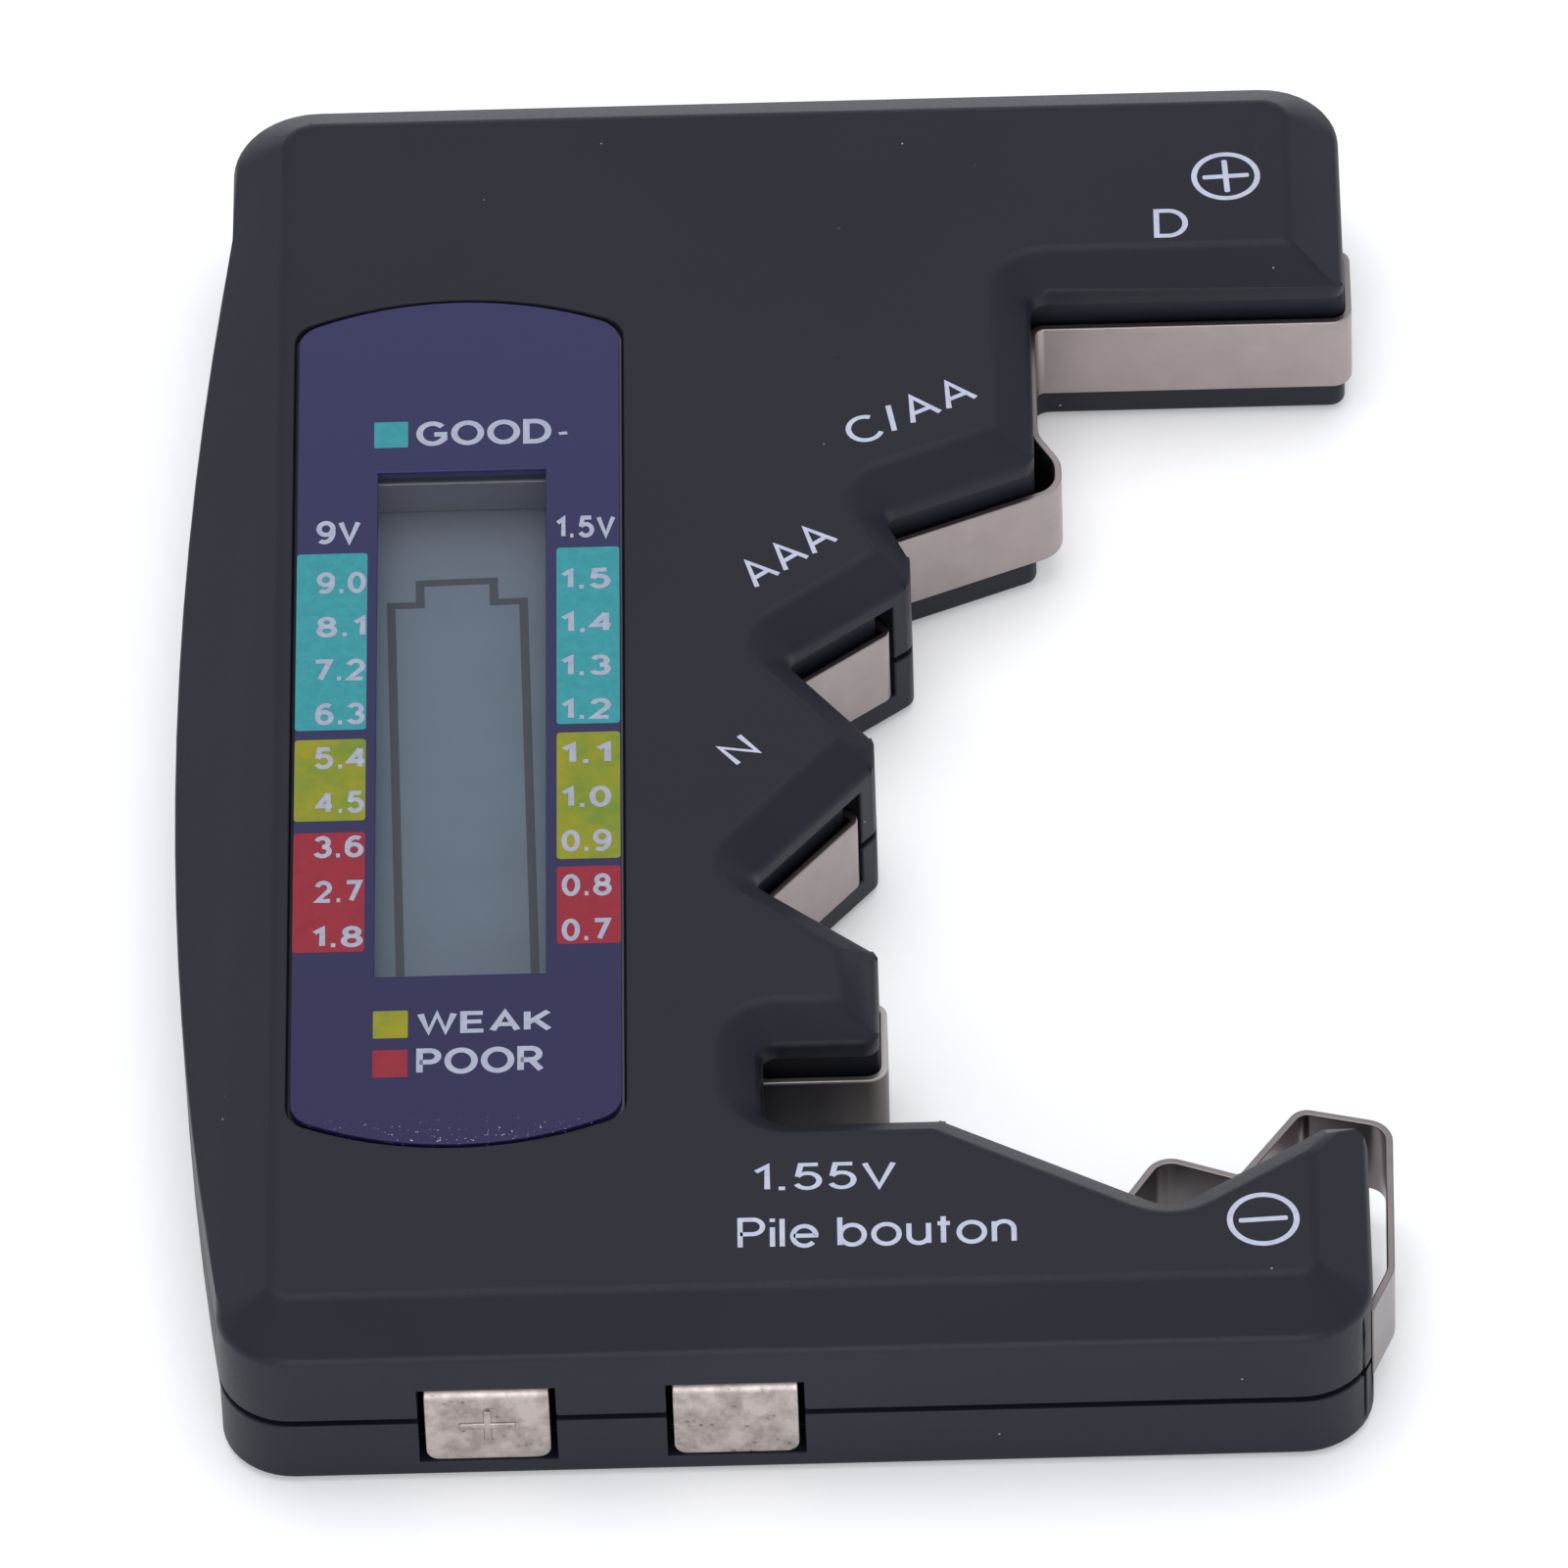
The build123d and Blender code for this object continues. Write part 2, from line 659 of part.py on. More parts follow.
def pad_wire(x):
    """A wire from a nine volt pad's tail to the board's near edge."""
    tail_y = NEAR + PAD_TAIL - 0.8
    end_x = min(x, BOARD_X[1] - 2.0)
    return [
        (x, tail_y, PAD_HIGH + WIRE_D / 2),
        ((x + end_x) / 2 + 0.4, tail_y + 4.0, PAD_HIGH + 1.3),
        (end_x + 0.2, BOARD_Y[0] + 0.2, PAD_HIGH + 0.9),
        (end_x, BOARD_Y[0] + 1.6, BOARD_TOP + 0.4),
    ]


WIRES = {
    "wire_positive_c_aa": strip_wire(step_tail("c_aa"), 13.0),
    "wire_positive_aaa": strip_wire(step_tail("aaa"), 1.2),
    "wire_positive_n": strip_wire(step_tail("n"), -15.0),
    "wire_positive_button": strip_wire((STEPS["button"][0] - 3.0, STEPS["button"][1]), -24.2),
    "wire_negative": strip_wire((STEPS["button"][0] - 3.0, POCKET_FLOOR), -29.2),
    "wire_nine_volt_positive": pad_wire(pad_places()[0]),
    "wire_nine_volt_negative": pad_wire(pad_places()[1]),
}


def build():
    """Every piece of the tester by name."""
    pieces = {
        "front_case": front_case(),
        "back_case": back_case(),
        "display_label": display_label(),
        "display_lens": display_lens(),
        "display_polarizer": display_layer(FILM_SIZE, GLASS_HIGH, GLASS_HIGH + POLARIZER_THICK),
        "display_front_glass": display_layer(GLASS_SIZE, GLASS_MID, GLASS_HIGH),
        "display_back_glass": display_layer(GLASS_SIZE, GLASS_LOW, GLASS_MID),
        "display_reflector": display_layer(FILM_SIZE, GLASS_LOW - POLARIZER_THICK, GLASS_LOW),
        "display_contact_rubbers": contact_rubbers(),
        "circuit_board": circuit_board(),
        "chip_blob": chip_blob(),
        "resistors": surface_parts(RESISTORS, (3.2, 1.6, 0.6)),
        "capacitors": surface_parts(CAPACITORS, (1.6, 3.2, 1.2)),
        "positive_strip_d_c_aa": positive_strip_d_c_aa(),
        "positive_strip_aaa": positive_strip_posted("aaa"),
        "positive_strip_n": positive_strip_posted("n"),
        "positive_strip_button": positive_strip_button(),
        "negative_strip_button": negative_strip_button(),
        "negative_spring": negative_spring(),
        "nine_volt_positive_pad": nine_volt_pad(pad_places()[0]),
        "nine_volt_negative_pad": nine_volt_pad(pad_places()[1]),
        "case_screws": case_screws(),
    }
    for name, points in WIRES.items():
        pieces[name] = wire(points)
    return pieces


os.makedirs("parts", exist_ok=True)
for name, piece in build().items():
    export_step(piece, f"parts/{name}.step")
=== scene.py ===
# %% [markdown]
# A battery tester is a flat black case with a stepped mouth. Batteries of each size are put between
# a step and the sprung arm, and a small display shows how full they are. The model is already made
# to size, so this lesson gives each part its finish and the fine detail that a drawing leaves out.
# The frame is loaded first, and its box is kept, because every later piece is measured from it.

# %% Load the frame
from math import cos, pi, radians, sin

import bmesh
import bpy
from mathutils import Matrix, Vector
from mathutils.bvhtree import BVHTree
from mathutils.geometry import intersect_point_line


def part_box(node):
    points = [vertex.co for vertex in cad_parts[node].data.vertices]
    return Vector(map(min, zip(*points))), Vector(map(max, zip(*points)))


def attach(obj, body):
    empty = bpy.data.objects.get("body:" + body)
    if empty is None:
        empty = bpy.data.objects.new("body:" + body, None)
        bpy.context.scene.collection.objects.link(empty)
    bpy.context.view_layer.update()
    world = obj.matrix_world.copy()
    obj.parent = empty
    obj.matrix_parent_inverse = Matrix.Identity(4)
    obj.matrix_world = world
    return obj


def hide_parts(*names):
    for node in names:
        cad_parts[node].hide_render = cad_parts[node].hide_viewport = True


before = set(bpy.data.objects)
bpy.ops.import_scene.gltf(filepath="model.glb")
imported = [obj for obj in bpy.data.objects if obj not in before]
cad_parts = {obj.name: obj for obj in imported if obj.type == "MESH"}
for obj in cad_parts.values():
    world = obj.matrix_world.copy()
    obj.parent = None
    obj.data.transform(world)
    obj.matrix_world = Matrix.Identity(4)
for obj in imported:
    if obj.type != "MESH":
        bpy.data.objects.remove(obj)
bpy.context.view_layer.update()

MM = 0.001
scene = bpy.context.scene

# %% [markdown]
# A small flat object is usually shown from above with a long lens, which keeps its edges almost
# parallel. The camera is placed by its height, its turn and a slight roll round its own axis, and
# its three axes are worked out from those angles, which is exact and easy to change by hand.

# %% Camera
VIEW_HEIGHT = radians(45.5)
VIEW_TURN = radians(-1.014)
VIEW_ROLL = radians(-2.153)
VIEW_DISTANCE = 1001.6 * MM
VIEW_TARGET = Vector((0.3, 3.0, 0.0)) * MM
VIEW_LENS = 434.8

flat = cos(VIEW_HEIGHT)
back = Vector((-sin(VIEW_TURN) * flat, -cos(VIEW_TURN) * flat, sin(VIEW_HEIGHT)))
right = Vector((cos(VIEW_TURN), -sin(VIEW_TURN), 0.0))
up = back.cross(right)
axes = Matrix((
    cos(VIEW_ROLL) * right + sin(VIEW_ROLL) * up,
    cos(VIEW_ROLL) * up - sin(VIEW_ROLL) * right,
    back,
)).transposed()
lens = bpy.data.cameras.new("camera")
lens.lens = VIEW_LENS
lens.clip_end = 20.0
camera = bpy.data.objects.new("camera", lens)
camera.matrix_world = Matrix.LocRotScale(VIEW_TARGET + back * VIEW_DISTANCE, axes.to_quaternion(), None)
scene.collection.objects.link(camera)
scene.camera = camera
print("camera at", [round(c / MM, 1) for c in camera.location])

# %% [markdown]
# Every finish below is a tree of shader nodes. One helper adds any node: a setting that names a
# socket fills that socket, and any other setting is a property of the node. A second helper turns
# a colour from the hex code that people write to the linear values that a shader works with.

# %% Helpers for finishes
def linear(code):
    """The linear colour of an sRGB hex code."""
    parts = [int(code[i:i + 2], 16) / 255 for i in (1, 3, 5)]
    return (*[p / 12.92 if p <= 0.04045 else ((p + 0.055) / 1.055) ** 2.4 for p in parts], 1.0)


def add(tree, kind, settings=None, links=None):
    """Add one node, fill its sockets or properties, and link what it reads."""
    node = tree.nodes.new(kind)
    for name, value in (settings or {}).items():
        if isinstance(name, int) or name in node.inputs:
            node.inputs[name].default_value = value
        else:
            setattr(node, name, value)
    for name, source in (links or {}).items():
        tree.links.new(source, node.inputs[name])
    return node


def new_finish(name, **shader_values):
    """A node material, its tree, its shader and the place on the piece in millimetres."""
    made = bpy.data.materials.new(name)
    made.use_nodes = True
    tree = made.node_tree
    shader = tree.nodes["Principled BSDF"]
    for socket, value in shader_values.items():
        shader.inputs[socket.replace("_", " ")].default_value = value
    place = add(tree, "ShaderNodeTexCoord").outputs["Object"]
    in_mm = add(tree, "ShaderNodeVectorMath", {"operation": "SCALE", "Scale": 1 / MM}, {0: place})
    return made, tree, shader, in_mm.outputs[0]


print("black of the case in linear values", [round(c, 4) for c in linear("#20212a")[:3]])

# %% [markdown]
# The case is moulded ABS, a hard plastic, and its mould was eaten by sparks on purpose. That leaves
# a fine matt grain, which hides finger marks and spreads every highlight. The grain is noise about
# 0.2 mm across. A wide faint noise stands for handling, and a few pale specks are dust in the grain.

# %% Finish: spark textured ABS
GRAIN = 0.2
DUST_SPACING = 2.6
DUST_SIZE = 0.065

abs_black, tree, shader, mm = new_finish(
    "ABS, black, spark textured", Roughness=0.5, IOR=1.5, Specular_IOR_Level=0.22)
handled = add(tree, "ShaderNodeTexNoise", {"Scale": 1 / 14, "Detail": 3.0}, {"Vector": mm})
body = add(tree, "ShaderNodeMix", {"data_type": "RGBA", 6: linear("#191a22"), 7: linear("#20212a")},
           {0: handled.outputs[0]})
spots = add(tree, "ShaderNodeTexVoronoi", {"Scale": 1 / DUST_SPACING}, {"Vector": mm})
near_spot = add(tree, "ShaderNodeMath", {"operation": "LESS_THAN", 1: DUST_SIZE / DUST_SPACING},
                {0: spots.outputs["Distance"]})
patchy = add(tree, "ShaderNodeTexNoise", {"Scale": 1 / 9, "Detail": 2.0}, {"Vector": mm})
where = add(tree, "ShaderNodeMapRange", {"From Min": 0.46, "From Max": 0.56}, {"Value": patchy.outputs[0]})
dust = add(tree, "ShaderNodeMath", {"operation": "MULTIPLY"},
           {0: near_spot.outputs[0], 1: where.outputs[0]})
colour = add(tree, "ShaderNodeMix", {"data_type": "RGBA", 7: linear("#8c8d94")},
             {0: dust.outputs[0], 6: body.outputs[2]})
grain = add(tree, "ShaderNodeTexNoise", {"Scale": 1 / GRAIN, "Detail": 2.0}, {"Vector": mm})
rough = add(tree, "ShaderNodeMapRange", {"To Min": 0.38, "To Max": 0.52}, {"Value": grain.outputs[0]})
bump = add(tree, "ShaderNodeBump", {"Strength": 0.6, "Distance": 0.012 * MM}, {"Height": grain.outputs[0]})
tree.links.new(colour.outputs[2], shader.inputs["Base Color"])
tree.links.new(rough.outputs[0], shader.inputs["Roughness"])
tree.links.new(bump.outputs[0], shader.inputs["Normal"])
print(abs_black.name, "grain", GRAIN, "mm")

# %% [markdown]
# The contacts are spring steel strips with a thin coat of nickel, which keeps a warm grey shine
# and doesn't rust. Rolling leaves faint lines along a strip. The strips stand on edge, so noise
# that is fine in height and long across the other two directions follows every bend by itself.

# %% Finish: nickel plated strip
nickel_strip, tree, shader, mm = new_finish("spring steel, nickel plated", Metallic=1.0, Roughness=0.36)
drawn = add(tree, "ShaderNodeMapping", {"vector_type": "POINT", "Scale": (0.12, 0.12, 6.0)}, {"Vector": mm})
lines = add(tree, "ShaderNodeTexNoise", {"Scale": 1.0, "Detail": 4.0}, {"Vector": drawn.outputs[0]})
stain = add(tree, "ShaderNodeTexNoise", {"Scale": 1 / 2.2, "Detail": 5.0, "Roughness": 0.6}, {"Vector": mm})
tint = add(tree, "ShaderNodeMix", {"data_type": "RGBA", 6: linear("#948a88"), 7: linear("#a99e9b")},
           {0: stain.outputs[0]})
rough = add(tree, "ShaderNodeMapRange", {"To Min": 0.28, "To Max": 0.46}, {"Value": lines.outputs[0]})
bump = add(tree, "ShaderNodeBump", {"Strength": 0.5, "Distance": 0.006 * MM}, {"Height": lines.outputs[0]})
tree.links.new(tint.outputs[2], shader.inputs["Base Color"])
tree.links.new(rough.outputs[0], shader.inputs["Roughness"])
tree.links.new(bump.outputs[0], shader.inputs["Normal"])
print(nickel_strip.name, "lines", round(1 / 6.0, 2), "mm apart")

# %% [markdown]
# The strip in the narrow button slot lies deep in the shade of the slot, so its colour is painted
# shade: a brown black nickel that turns lighter towards the strip's end. A painted highlight runs
# along its top edge. Both are found from the strip's own box, so the finish follows the strip if
# its size is changed.

# %% Finish: button strip with painted shade and highlight
button_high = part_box("positive_strip_button")[1]
LIT_END_X, HIGHLIGHT_TOP = button_high.x / MM, button_high.z / MM
LIT_LONG, HIGHLIGHT_LOW, HIGHLIGHT_HIGH = 3.5, 0.16, 0.06
painted_shade_finish, tree, shader, mm = new_finish("nickel plated steel, tarnished", Metallic=1.0, Roughness=0.42)
parts = add(tree, "ShaderNodeSeparateXYZ", {}, {0: mm})
lighter_to_end = add(tree, "ShaderNodeMapRange", {"From Min": LIT_END_X - LIT_LONG, "From Max": LIT_END_X - 0.4},
             {"Value": parts.outputs["X"]})
stain = add(tree, "ShaderNodeTexNoise", {"Scale": 1 / 1.4, "Detail": 5.0, "Roughness": 0.6}, {"Vector": mm})
# Painted shade: dark nickel with random stains, turning lighter towards the strip's end.
stain_and_shade = add(tree, "ShaderNodeMix", {"data_type": "RGBA", 6: linear("#36353b"), 7: linear("#4a474b")},
           {0: stain.outputs[0]})
side = add(tree, "ShaderNodeMix", {"data_type": "RGBA", 7: linear("#625d5b")},
           {0: lighter_to_end.outputs[0], 6: stain_and_shade.outputs[2]})
# Painted highlight: a pale line along the strip's top edge.
painted_highlight = add(tree, "ShaderNodeMapRange",
               {"From Min": HIGHLIGHT_TOP - HIGHLIGHT_LOW, "From Max": HIGHLIGHT_TOP - HIGHLIGHT_HIGH},
               {"Value": parts.outputs["Z"]})
tint = add(tree, "ShaderNodeMix", {"data_type": "RGBA", 7: linear("#c2bab5")},
           {0: painted_highlight.outputs[0], 6: side.outputs[2]})
bump = add(tree, "ShaderNodeBump", {"Strength": 0.4, "Distance": 0.008 * MM}, {"Height": stain.outputs[0]})
tree.links.new(tint.outputs[2], shader.inputs["Base Color"])
tree.links.new(bump.outputs[0], shader.inputs["Normal"])
print(painted_shade_finish.name, "up to x", round(LIT_END_X, 1))

# %% [markdown]
# The two square pads are pressed from the same steel, but their faces are scuffed by the snaps of
# many batteries. Small pits with darker floors are made where a cell noise is close to its points,
# and a softer noise dents the sheet a little, so that its reflection isn't quite even.

# %% Finish: scuffed nickel pad
PIT_SPACING = 0.55
nickel_pad, tree, shader, mm = new_finish("nickel plated steel, scuffed", Metallic=1.0, Roughness=0.42)
pits = add(tree, "ShaderNodeTexVoronoi", {"Scale": 1 / PIT_SPACING}, {"Vector": mm})
hollow = add(tree, "ShaderNodeMapRange", {"From Min": 0.05, "From Max": 0.3},
             {"Value": pits.outputs["Distance"]})
worn = add(tree, "ShaderNodeTexNoise", {"Scale": 1 / 1.3, "Detail": 6.0, "Roughness": 0.65}, {"Vector": mm})
sparse = add(tree, "ShaderNodeMapRange", {"From Min": 0.49, "From Max": 0.6}, {"Value": worn.outputs[0]})
marked = add(tree, "ShaderNodeMath", {"operation": "SUBTRACT", 0: 1.0}, {1: hollow.outputs[0]})
marked = add(tree, "ShaderNodeMath", {"operation": "MULTIPLY"},
             {0: marked.outputs[0], 1: sparse.outputs[0]})
scuffed = add(tree, "ShaderNodeMapRange", {"From Min": 0.4, "From Max": 0.62}, {"Value": worn.outputs[0]})
plate = add(tree, "ShaderNodeMix", {"data_type": "RGBA", 6: linear("#bdb3ae"), 7: linear("#9b918c")},
            {0: scuffed.outputs[0]})
tint = add(tree, "ShaderNodeMix", {"data_type": "RGBA", 7: linear("#655d5a")},
           {0: marked.outputs[0], 6: plate.outputs[2]})
rough = add(tree, "ShaderNodeMapRange", {"To Min": 0.34, "To Max": 0.56}, {"Value": worn.outputs[0]})
height = add(tree, "ShaderNodeMath", {"operation": "SUBTRACT"}, {0: worn.outputs[0], 1: marked.outputs[0]})
bump = add(tree, "ShaderNodeBump", {"Strength": 0.8, "Distance": 0.045 * MM}, {"Height": height.outputs[0]})
tree.links.new(tint.outputs[2], shader.inputs["Base Color"])
tree.links.new(rough.outputs[0], shader.inputs["Roughness"])
tree.links.new(bump.outputs[0], shader.inputs["Normal"])
print(nickel_pad.name, "pits", PIT_SPACING, "mm apart")

# %% [markdown]
# The label is a plastic film, printed and stuck in a recess of the face. It is a violet blue that
# is a little darker towards its near end, with a fine print grain and a few chips in its edge.

# %% Finish: printed film
label_low, label_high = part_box("display_label")
LABEL_MIDDLE_Y = (label_low.y + label_high.y) / 2 / MM
LABEL_HALF = (label_high.y - label_low.y) / 2 / MM
LABEL_NEAR, LABEL_FAR = LABEL_MIDDLE_Y - LABEL_HALF, LABEL_MIDDLE_Y + LABEL_HALF
CHIPS_FROM, CHIPS_TO = 1.9, 1.1

film_blue, tree, shader, mm = new_finish(
    "PET film, printed blue", Roughness=0.3, IOR=1.5, Specular_IOR_Level=0.28)
parts = add(tree, "ShaderNodeSeparateXYZ", {}, {0: mm})
along_y = add(tree, "ShaderNodeMapRange",
              {"From Min": LABEL_NEAR, "From Max": LABEL_FAR},
              {"Value": parts.outputs["Y"]})
body = add(tree, "ShaderNodeMix", {"data_type": "RGBA", 6: linear("#211f47"), 7: linear("#2d2c55")},
           {0: along_y.outputs[0]})
speck = add(tree, "ShaderNodeTexNoise", {"Scale": 1 / 0.16, "Detail": 2.0}, {"Vector": mm})
low_end = add(tree, "ShaderNodeMapRange",
              {"From Min": LABEL_NEAR + CHIPS_FROM, "From Max": LABEL_NEAR + CHIPS_TO},
              {"Value": parts.outputs["Y"]})
chips = add(tree, "ShaderNodeMapRange", {"From Min": 0.68, "From Max": 0.72}, {"Value": speck.outputs[0]})
chipped = add(tree, "ShaderNodeMath", {"operation": "MULTIPLY"},
              {0: chips.outputs[0], 1: low_end.outputs[0]})
colour = add(tree, "ShaderNodeMix", {"data_type": "RGBA", 7: linear("#a9a9c0")},
             {0: chipped.outputs[0], 6: body.outputs[2]})
rough = add(tree, "ShaderNodeMapRange", {"To Min": 0.28, "To Max": 0.42}, {"Value": speck.outputs[0]})
bump = add(tree, "ShaderNodeBump", {"Strength": 0.3, "Distance": 0.004 * MM}, {"Height": speck.outputs[0]})
tree.links.new(colour.outputs[2], shader.inputs["Base Color"])
tree.links.new(rough.outputs[0], shader.inputs["Roughness"])
tree.links.new(bump.outputs[0], shader.inputs["Normal"])
print(film_blue.name, "from", round(LABEL_NEAR, 1), "to", round(LABEL_FAR, 1))

# %% [markdown]
# The inks are screen printed, a paste pressed through a mesh. The mesh leaves a slight mottle, and
# the film shows through where the paste is thin. All inks are made alike, so one function makes
# them from their full and their thin colour. The white is so thin that the bars shine through.

# %% Finish: screen printed inks
MOTTLE = 0.5


def ink(name, full, thin, size=MOTTLE, opacity=1.0):
    """A screen printed ink that varies between its full and its thin colour."""
    made, tree, shader, mm = new_finish(
        name, Roughness=0.5, IOR=1.48, Specular_IOR_Level=0.25, Alpha=opacity)
    cloud = add(tree, "ShaderNodeTexNoise", {"Scale": 1 / size, "Detail": 5.0, "Roughness": 0.7},
                {"Vector": mm})
    cover = add(tree, "ShaderNodeMapRange", {"From Min": 0.35, "From Max": 0.65},
                {"Value": cloud.outputs[0]})
    colour = add(tree, "ShaderNodeMix", {"data_type": "RGBA", 6: linear(thin), 7: linear(full)},
                 {0: cover.outputs[0]})
    bump = add(tree, "ShaderNodeBump", {"Strength": 0.3, "Distance": 0.004 * MM},
               {"Height": cloud.outputs[0]})
    tree.links.new(colour.outputs[2], shader.inputs["Base Color"])
    tree.links.new(bump.outputs[0], shader.inputs["Normal"])
    return made


INKS = {
    "label_white": ink("screen ink, thin white on the label", "#c3c8d8", "#b2b8cb", opacity=0.72),
    "case_white": ink("pad print ink, white on the case", "#c4cadb", "#b4bacd"),
    "teal": ink("screen ink, teal", "#36959b", "#2f8a91"),
    "lime": ink("screen ink, yellow green", "#948d14", "#6d8428", size=2.4),
    "red": ink("screen ink, red", "#942433", "#872230"),
}
print("inks", sorted(INKS))

# %% [markdown]
# A plain reflective display is a sandwich of glass and grey polarising film that lies in a well
# under the window. The film is green grey and scatters softly. Its far end sits in the shade of
# the well's wall, so its colour goes from dark to light over the first few millimetres.

# %% Finish: display film, display segment and lens
WINDOW = Vector(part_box("display_lens")[0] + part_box("display_lens")[1]) / 2 / MM
WINDOW_WIDE, WINDOW_LONG = 8.9, 37.1
SHADE_LONG = 6.0

display_film, tree, shader, mm = new_finish(
    "polarising film over a display", Roughness=0.35, IOR=1.49, Specular_IOR_Level=0.3)
parts = add(tree, "ShaderNodeSeparateXYZ", {}, {0: mm})
far_end = WINDOW.y + WINDOW_LONG / 2
lit = add(tree, "ShaderNodeMapRange",
          {"interpolation_type": "SMOOTHSTEP", "From Min": far_end, "From Max": far_end - SHADE_LONG},
          {"Value": parts.outputs["Y"]})
cloud = add(tree, "ShaderNodeTexNoise", {"Scale": 1 / 3.0, "Detail": 3.0}, {"Vector": mm})
light_grey = add(tree, "ShaderNodeMix", {"data_type": "RGBA", 6: linear("#5f6c78"), 7: linear("#677581")},
                 {0: cloud.outputs[0]})
colour = add(tree, "ShaderNodeMix", {"data_type": "RGBA", 6: linear("#666b76")},
             {0: lit.outputs[0], 7: light_grey.outputs[2]})
tree.links.new(colour.outputs[2], shader.inputs["Base Color"])

# Liquid crystal that is switched on blocks the light, so a segment is a dark see-through grey.
display_segment, tree, shader, mm = new_finish("liquid crystal, switched on", Roughness=0.45, IOR=1.5)
cloud = add(tree, "ShaderNodeTexNoise", {"Scale": 1 / 0.8, "Detail": 3.0}, {"Vector": mm})
colour = add(tree, "ShaderNodeMix", {"data_type": "RGBA", 6: linear("#262a33"), 7: linear("#30343d")},
             {0: cloud.outputs[0]})
tree.links.new(colour.outputs[2], shader.inputs["Base Color"])

# The lens is clear acrylic: nearly see-through, with a glossy face that has hairline scratches.
clear_acrylic, tree, shader, mm = new_finish("acrylic, clear", Roughness=0.12, IOR=1.49, Alpha=0.03)
hair = add(tree, "ShaderNodeMapping", {"Rotation": (0.0, 0.0, 0.5), "Scale": (6.0, 0.25, 1.0)},
           {"Vector": mm})
scratch = add(tree, "ShaderNodeTexNoise", {"Scale": 1.0, "Detail": 5.0}, {"Vector": hair.outputs[0]})
rough = add(tree, "ShaderNodeMapRange", {"To Min": 0.06, "To Max": 0.2}, {"Value": scratch.outputs[0]})
colour = add(tree, "ShaderNodeMix", {"data_type": "RGBA", 6: linear("#8b98a3"), 7: linear("#96a3ad")},
             {0: scratch.outputs[0]})
tree.links.new(rough.outputs[0], shader.inputs["Roughness"])
tree.links.new(colour.outputs[2], shader.inputs["Base Color"])
print("window at", round(WINDOW.x, 2), round(WINDOW.y, 2))

# %% [markdown]
# The parts inside the case are hardly seen, but each gets the finish of its real material: green
# solder mask, black resin, ceramic, rubber with fine carbon stripes, glass and soft PVC. They all
# vary between two close colours, so one function with a noise size makes them.

# %% Finish: parts inside
def plain_finish(name, first, second, size, roughness, metallic=0.0, stretch=(1.0, 1.0, 1.0), depth=0.004):
    """A finish that varies between two colours over a size in mm, with a slight relief."""
    made, tree, shader, mm = new_finish(name, Roughness=roughness, Metallic=metallic)
    spread = add(tree, "ShaderNodeMapping", {"Scale": stretch}, {"Vector": mm})
    cloud = add(tree, "ShaderNodeTexNoise", {"Scale": 1 / size, "Detail": 4.0},
                {"Vector": spread.outputs[0]})
    colour = add(tree, "ShaderNodeMix", {"data_type": "RGBA", 6: linear(first), 7: linear(second)},
                 {0: cloud.outputs[0]})
    bump = add(tree, "ShaderNodeBump", {"Strength": 0.4, "Distance": depth * MM},
               {"Height": cloud.outputs[0]})
    tree.links.new(colour.outputs[2], shader.inputs["Base Color"])
    tree.links.new(bump.outputs[0], shader.inputs["Normal"])
    return made


INSIDE = {
    "circuit_board": plain_finish("glass epoxy board, green mask", "#1f5a34", "#2a6b40", 2.0, 0.35),
    "chip_blob": plain_finish("epoxy resin, black", "#111214", "#1b1c1f", 1.5, 0.3),
    "resistors": plain_finish("ceramic chip, black", "#1a1a1c", "#2a2a2d", 0.4, 0.4),
    "capacitors": plain_finish("ceramic chip, tan", "#a98e6b", "#b89c78", 0.4, 0.45),
    "display_contact_rubbers": plain_finish(
        "silicone rubber, carbon stripes", "#2b2b2e", "#b9b9bd", 0.2, 0.6, stretch=(1.0, 0.01, 0.01)),
    "display_front_glass": plain_finish("soda lime glass, front", "#8c9a99", "#95a3a2", 4.0, 0.08),
    "display_back_glass": plain_finish("soda lime glass, back", "#7f8d8c", "#899796", 4.0, 0.08),
    "display_reflector": plain_finish(
        "aluminium reflector film", "#a3a8aa", "#b4b8ba", 0.3, 0.4, metallic=1.0),
}
PVC_RED = plain_finish("soft PVC, red", "#8f1d20", "#a32427", 1.2, 0.42)
PVC_BLACK = plain_finish("soft PVC, black", "#151517", "#202023", 1.2, 0.42)
SCREW_STEEL = plain_finish("zinc plated steel", "#9c9c9f", "#b9b9bc", 0.5, 0.33, metallic=1.0, depth=0.006)


def dress(node, finish):
    """Give a CAD node a finish in every one of its material slots."""
    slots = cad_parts[node].material_slots
    for slot in slots:
        slot.material = finish
    return len(slots)


for node, finish in INSIDE.items():
    dress(node, finish)
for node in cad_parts:
    if node.startswith("wire_"):
        dress(node, PVC_RED if "positive" in node else PVC_BLACK)
dress("display_polarizer", display_film)
print("dressed", len(INSIDE) + 8, "inner parts")

# %% [markdown]
# A model from a drawing has edges as sharp as a razor, and real mouldings never do: the polished
# mould rounds them by a few tenths of a millimetre, and that rounding is what catches the light.
# Each visible part is therefore copied, its loose triangles are joined, flat areas become one face,
# and the edges that can be seen from outside are bevelled. An edge counts as outside when a ray
# can leave it freely, which spares the many edges inside the case. Where short edges crowd at a
# corner a bevel can fold over itself, so it is tried on a copy first, and the edges by a fold are
# left sharp.

# %% Helpers for shapes
INK_HIGH = 0.012 * MM
FACE_DROP = 2 * INK_HIGH
SMALL_FACE = 1.0 * MM
SHORT_EDGE = 2.5 * MM


def joined_copy(node):
    """A copy of a CAD node with its triangles joined and its flat areas whole."""
    mesh = bmesh.new()
    mesh.from_mesh(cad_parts[node].data)
    bmesh.ops.remove_doubles(mesh, verts=mesh.verts, dist=0.001 * MM)
    bmesh.ops.dissolve_limit(mesh, angle_limit=radians(0.5), verts=mesh.verts, edges=mesh.edges)
    return mesh


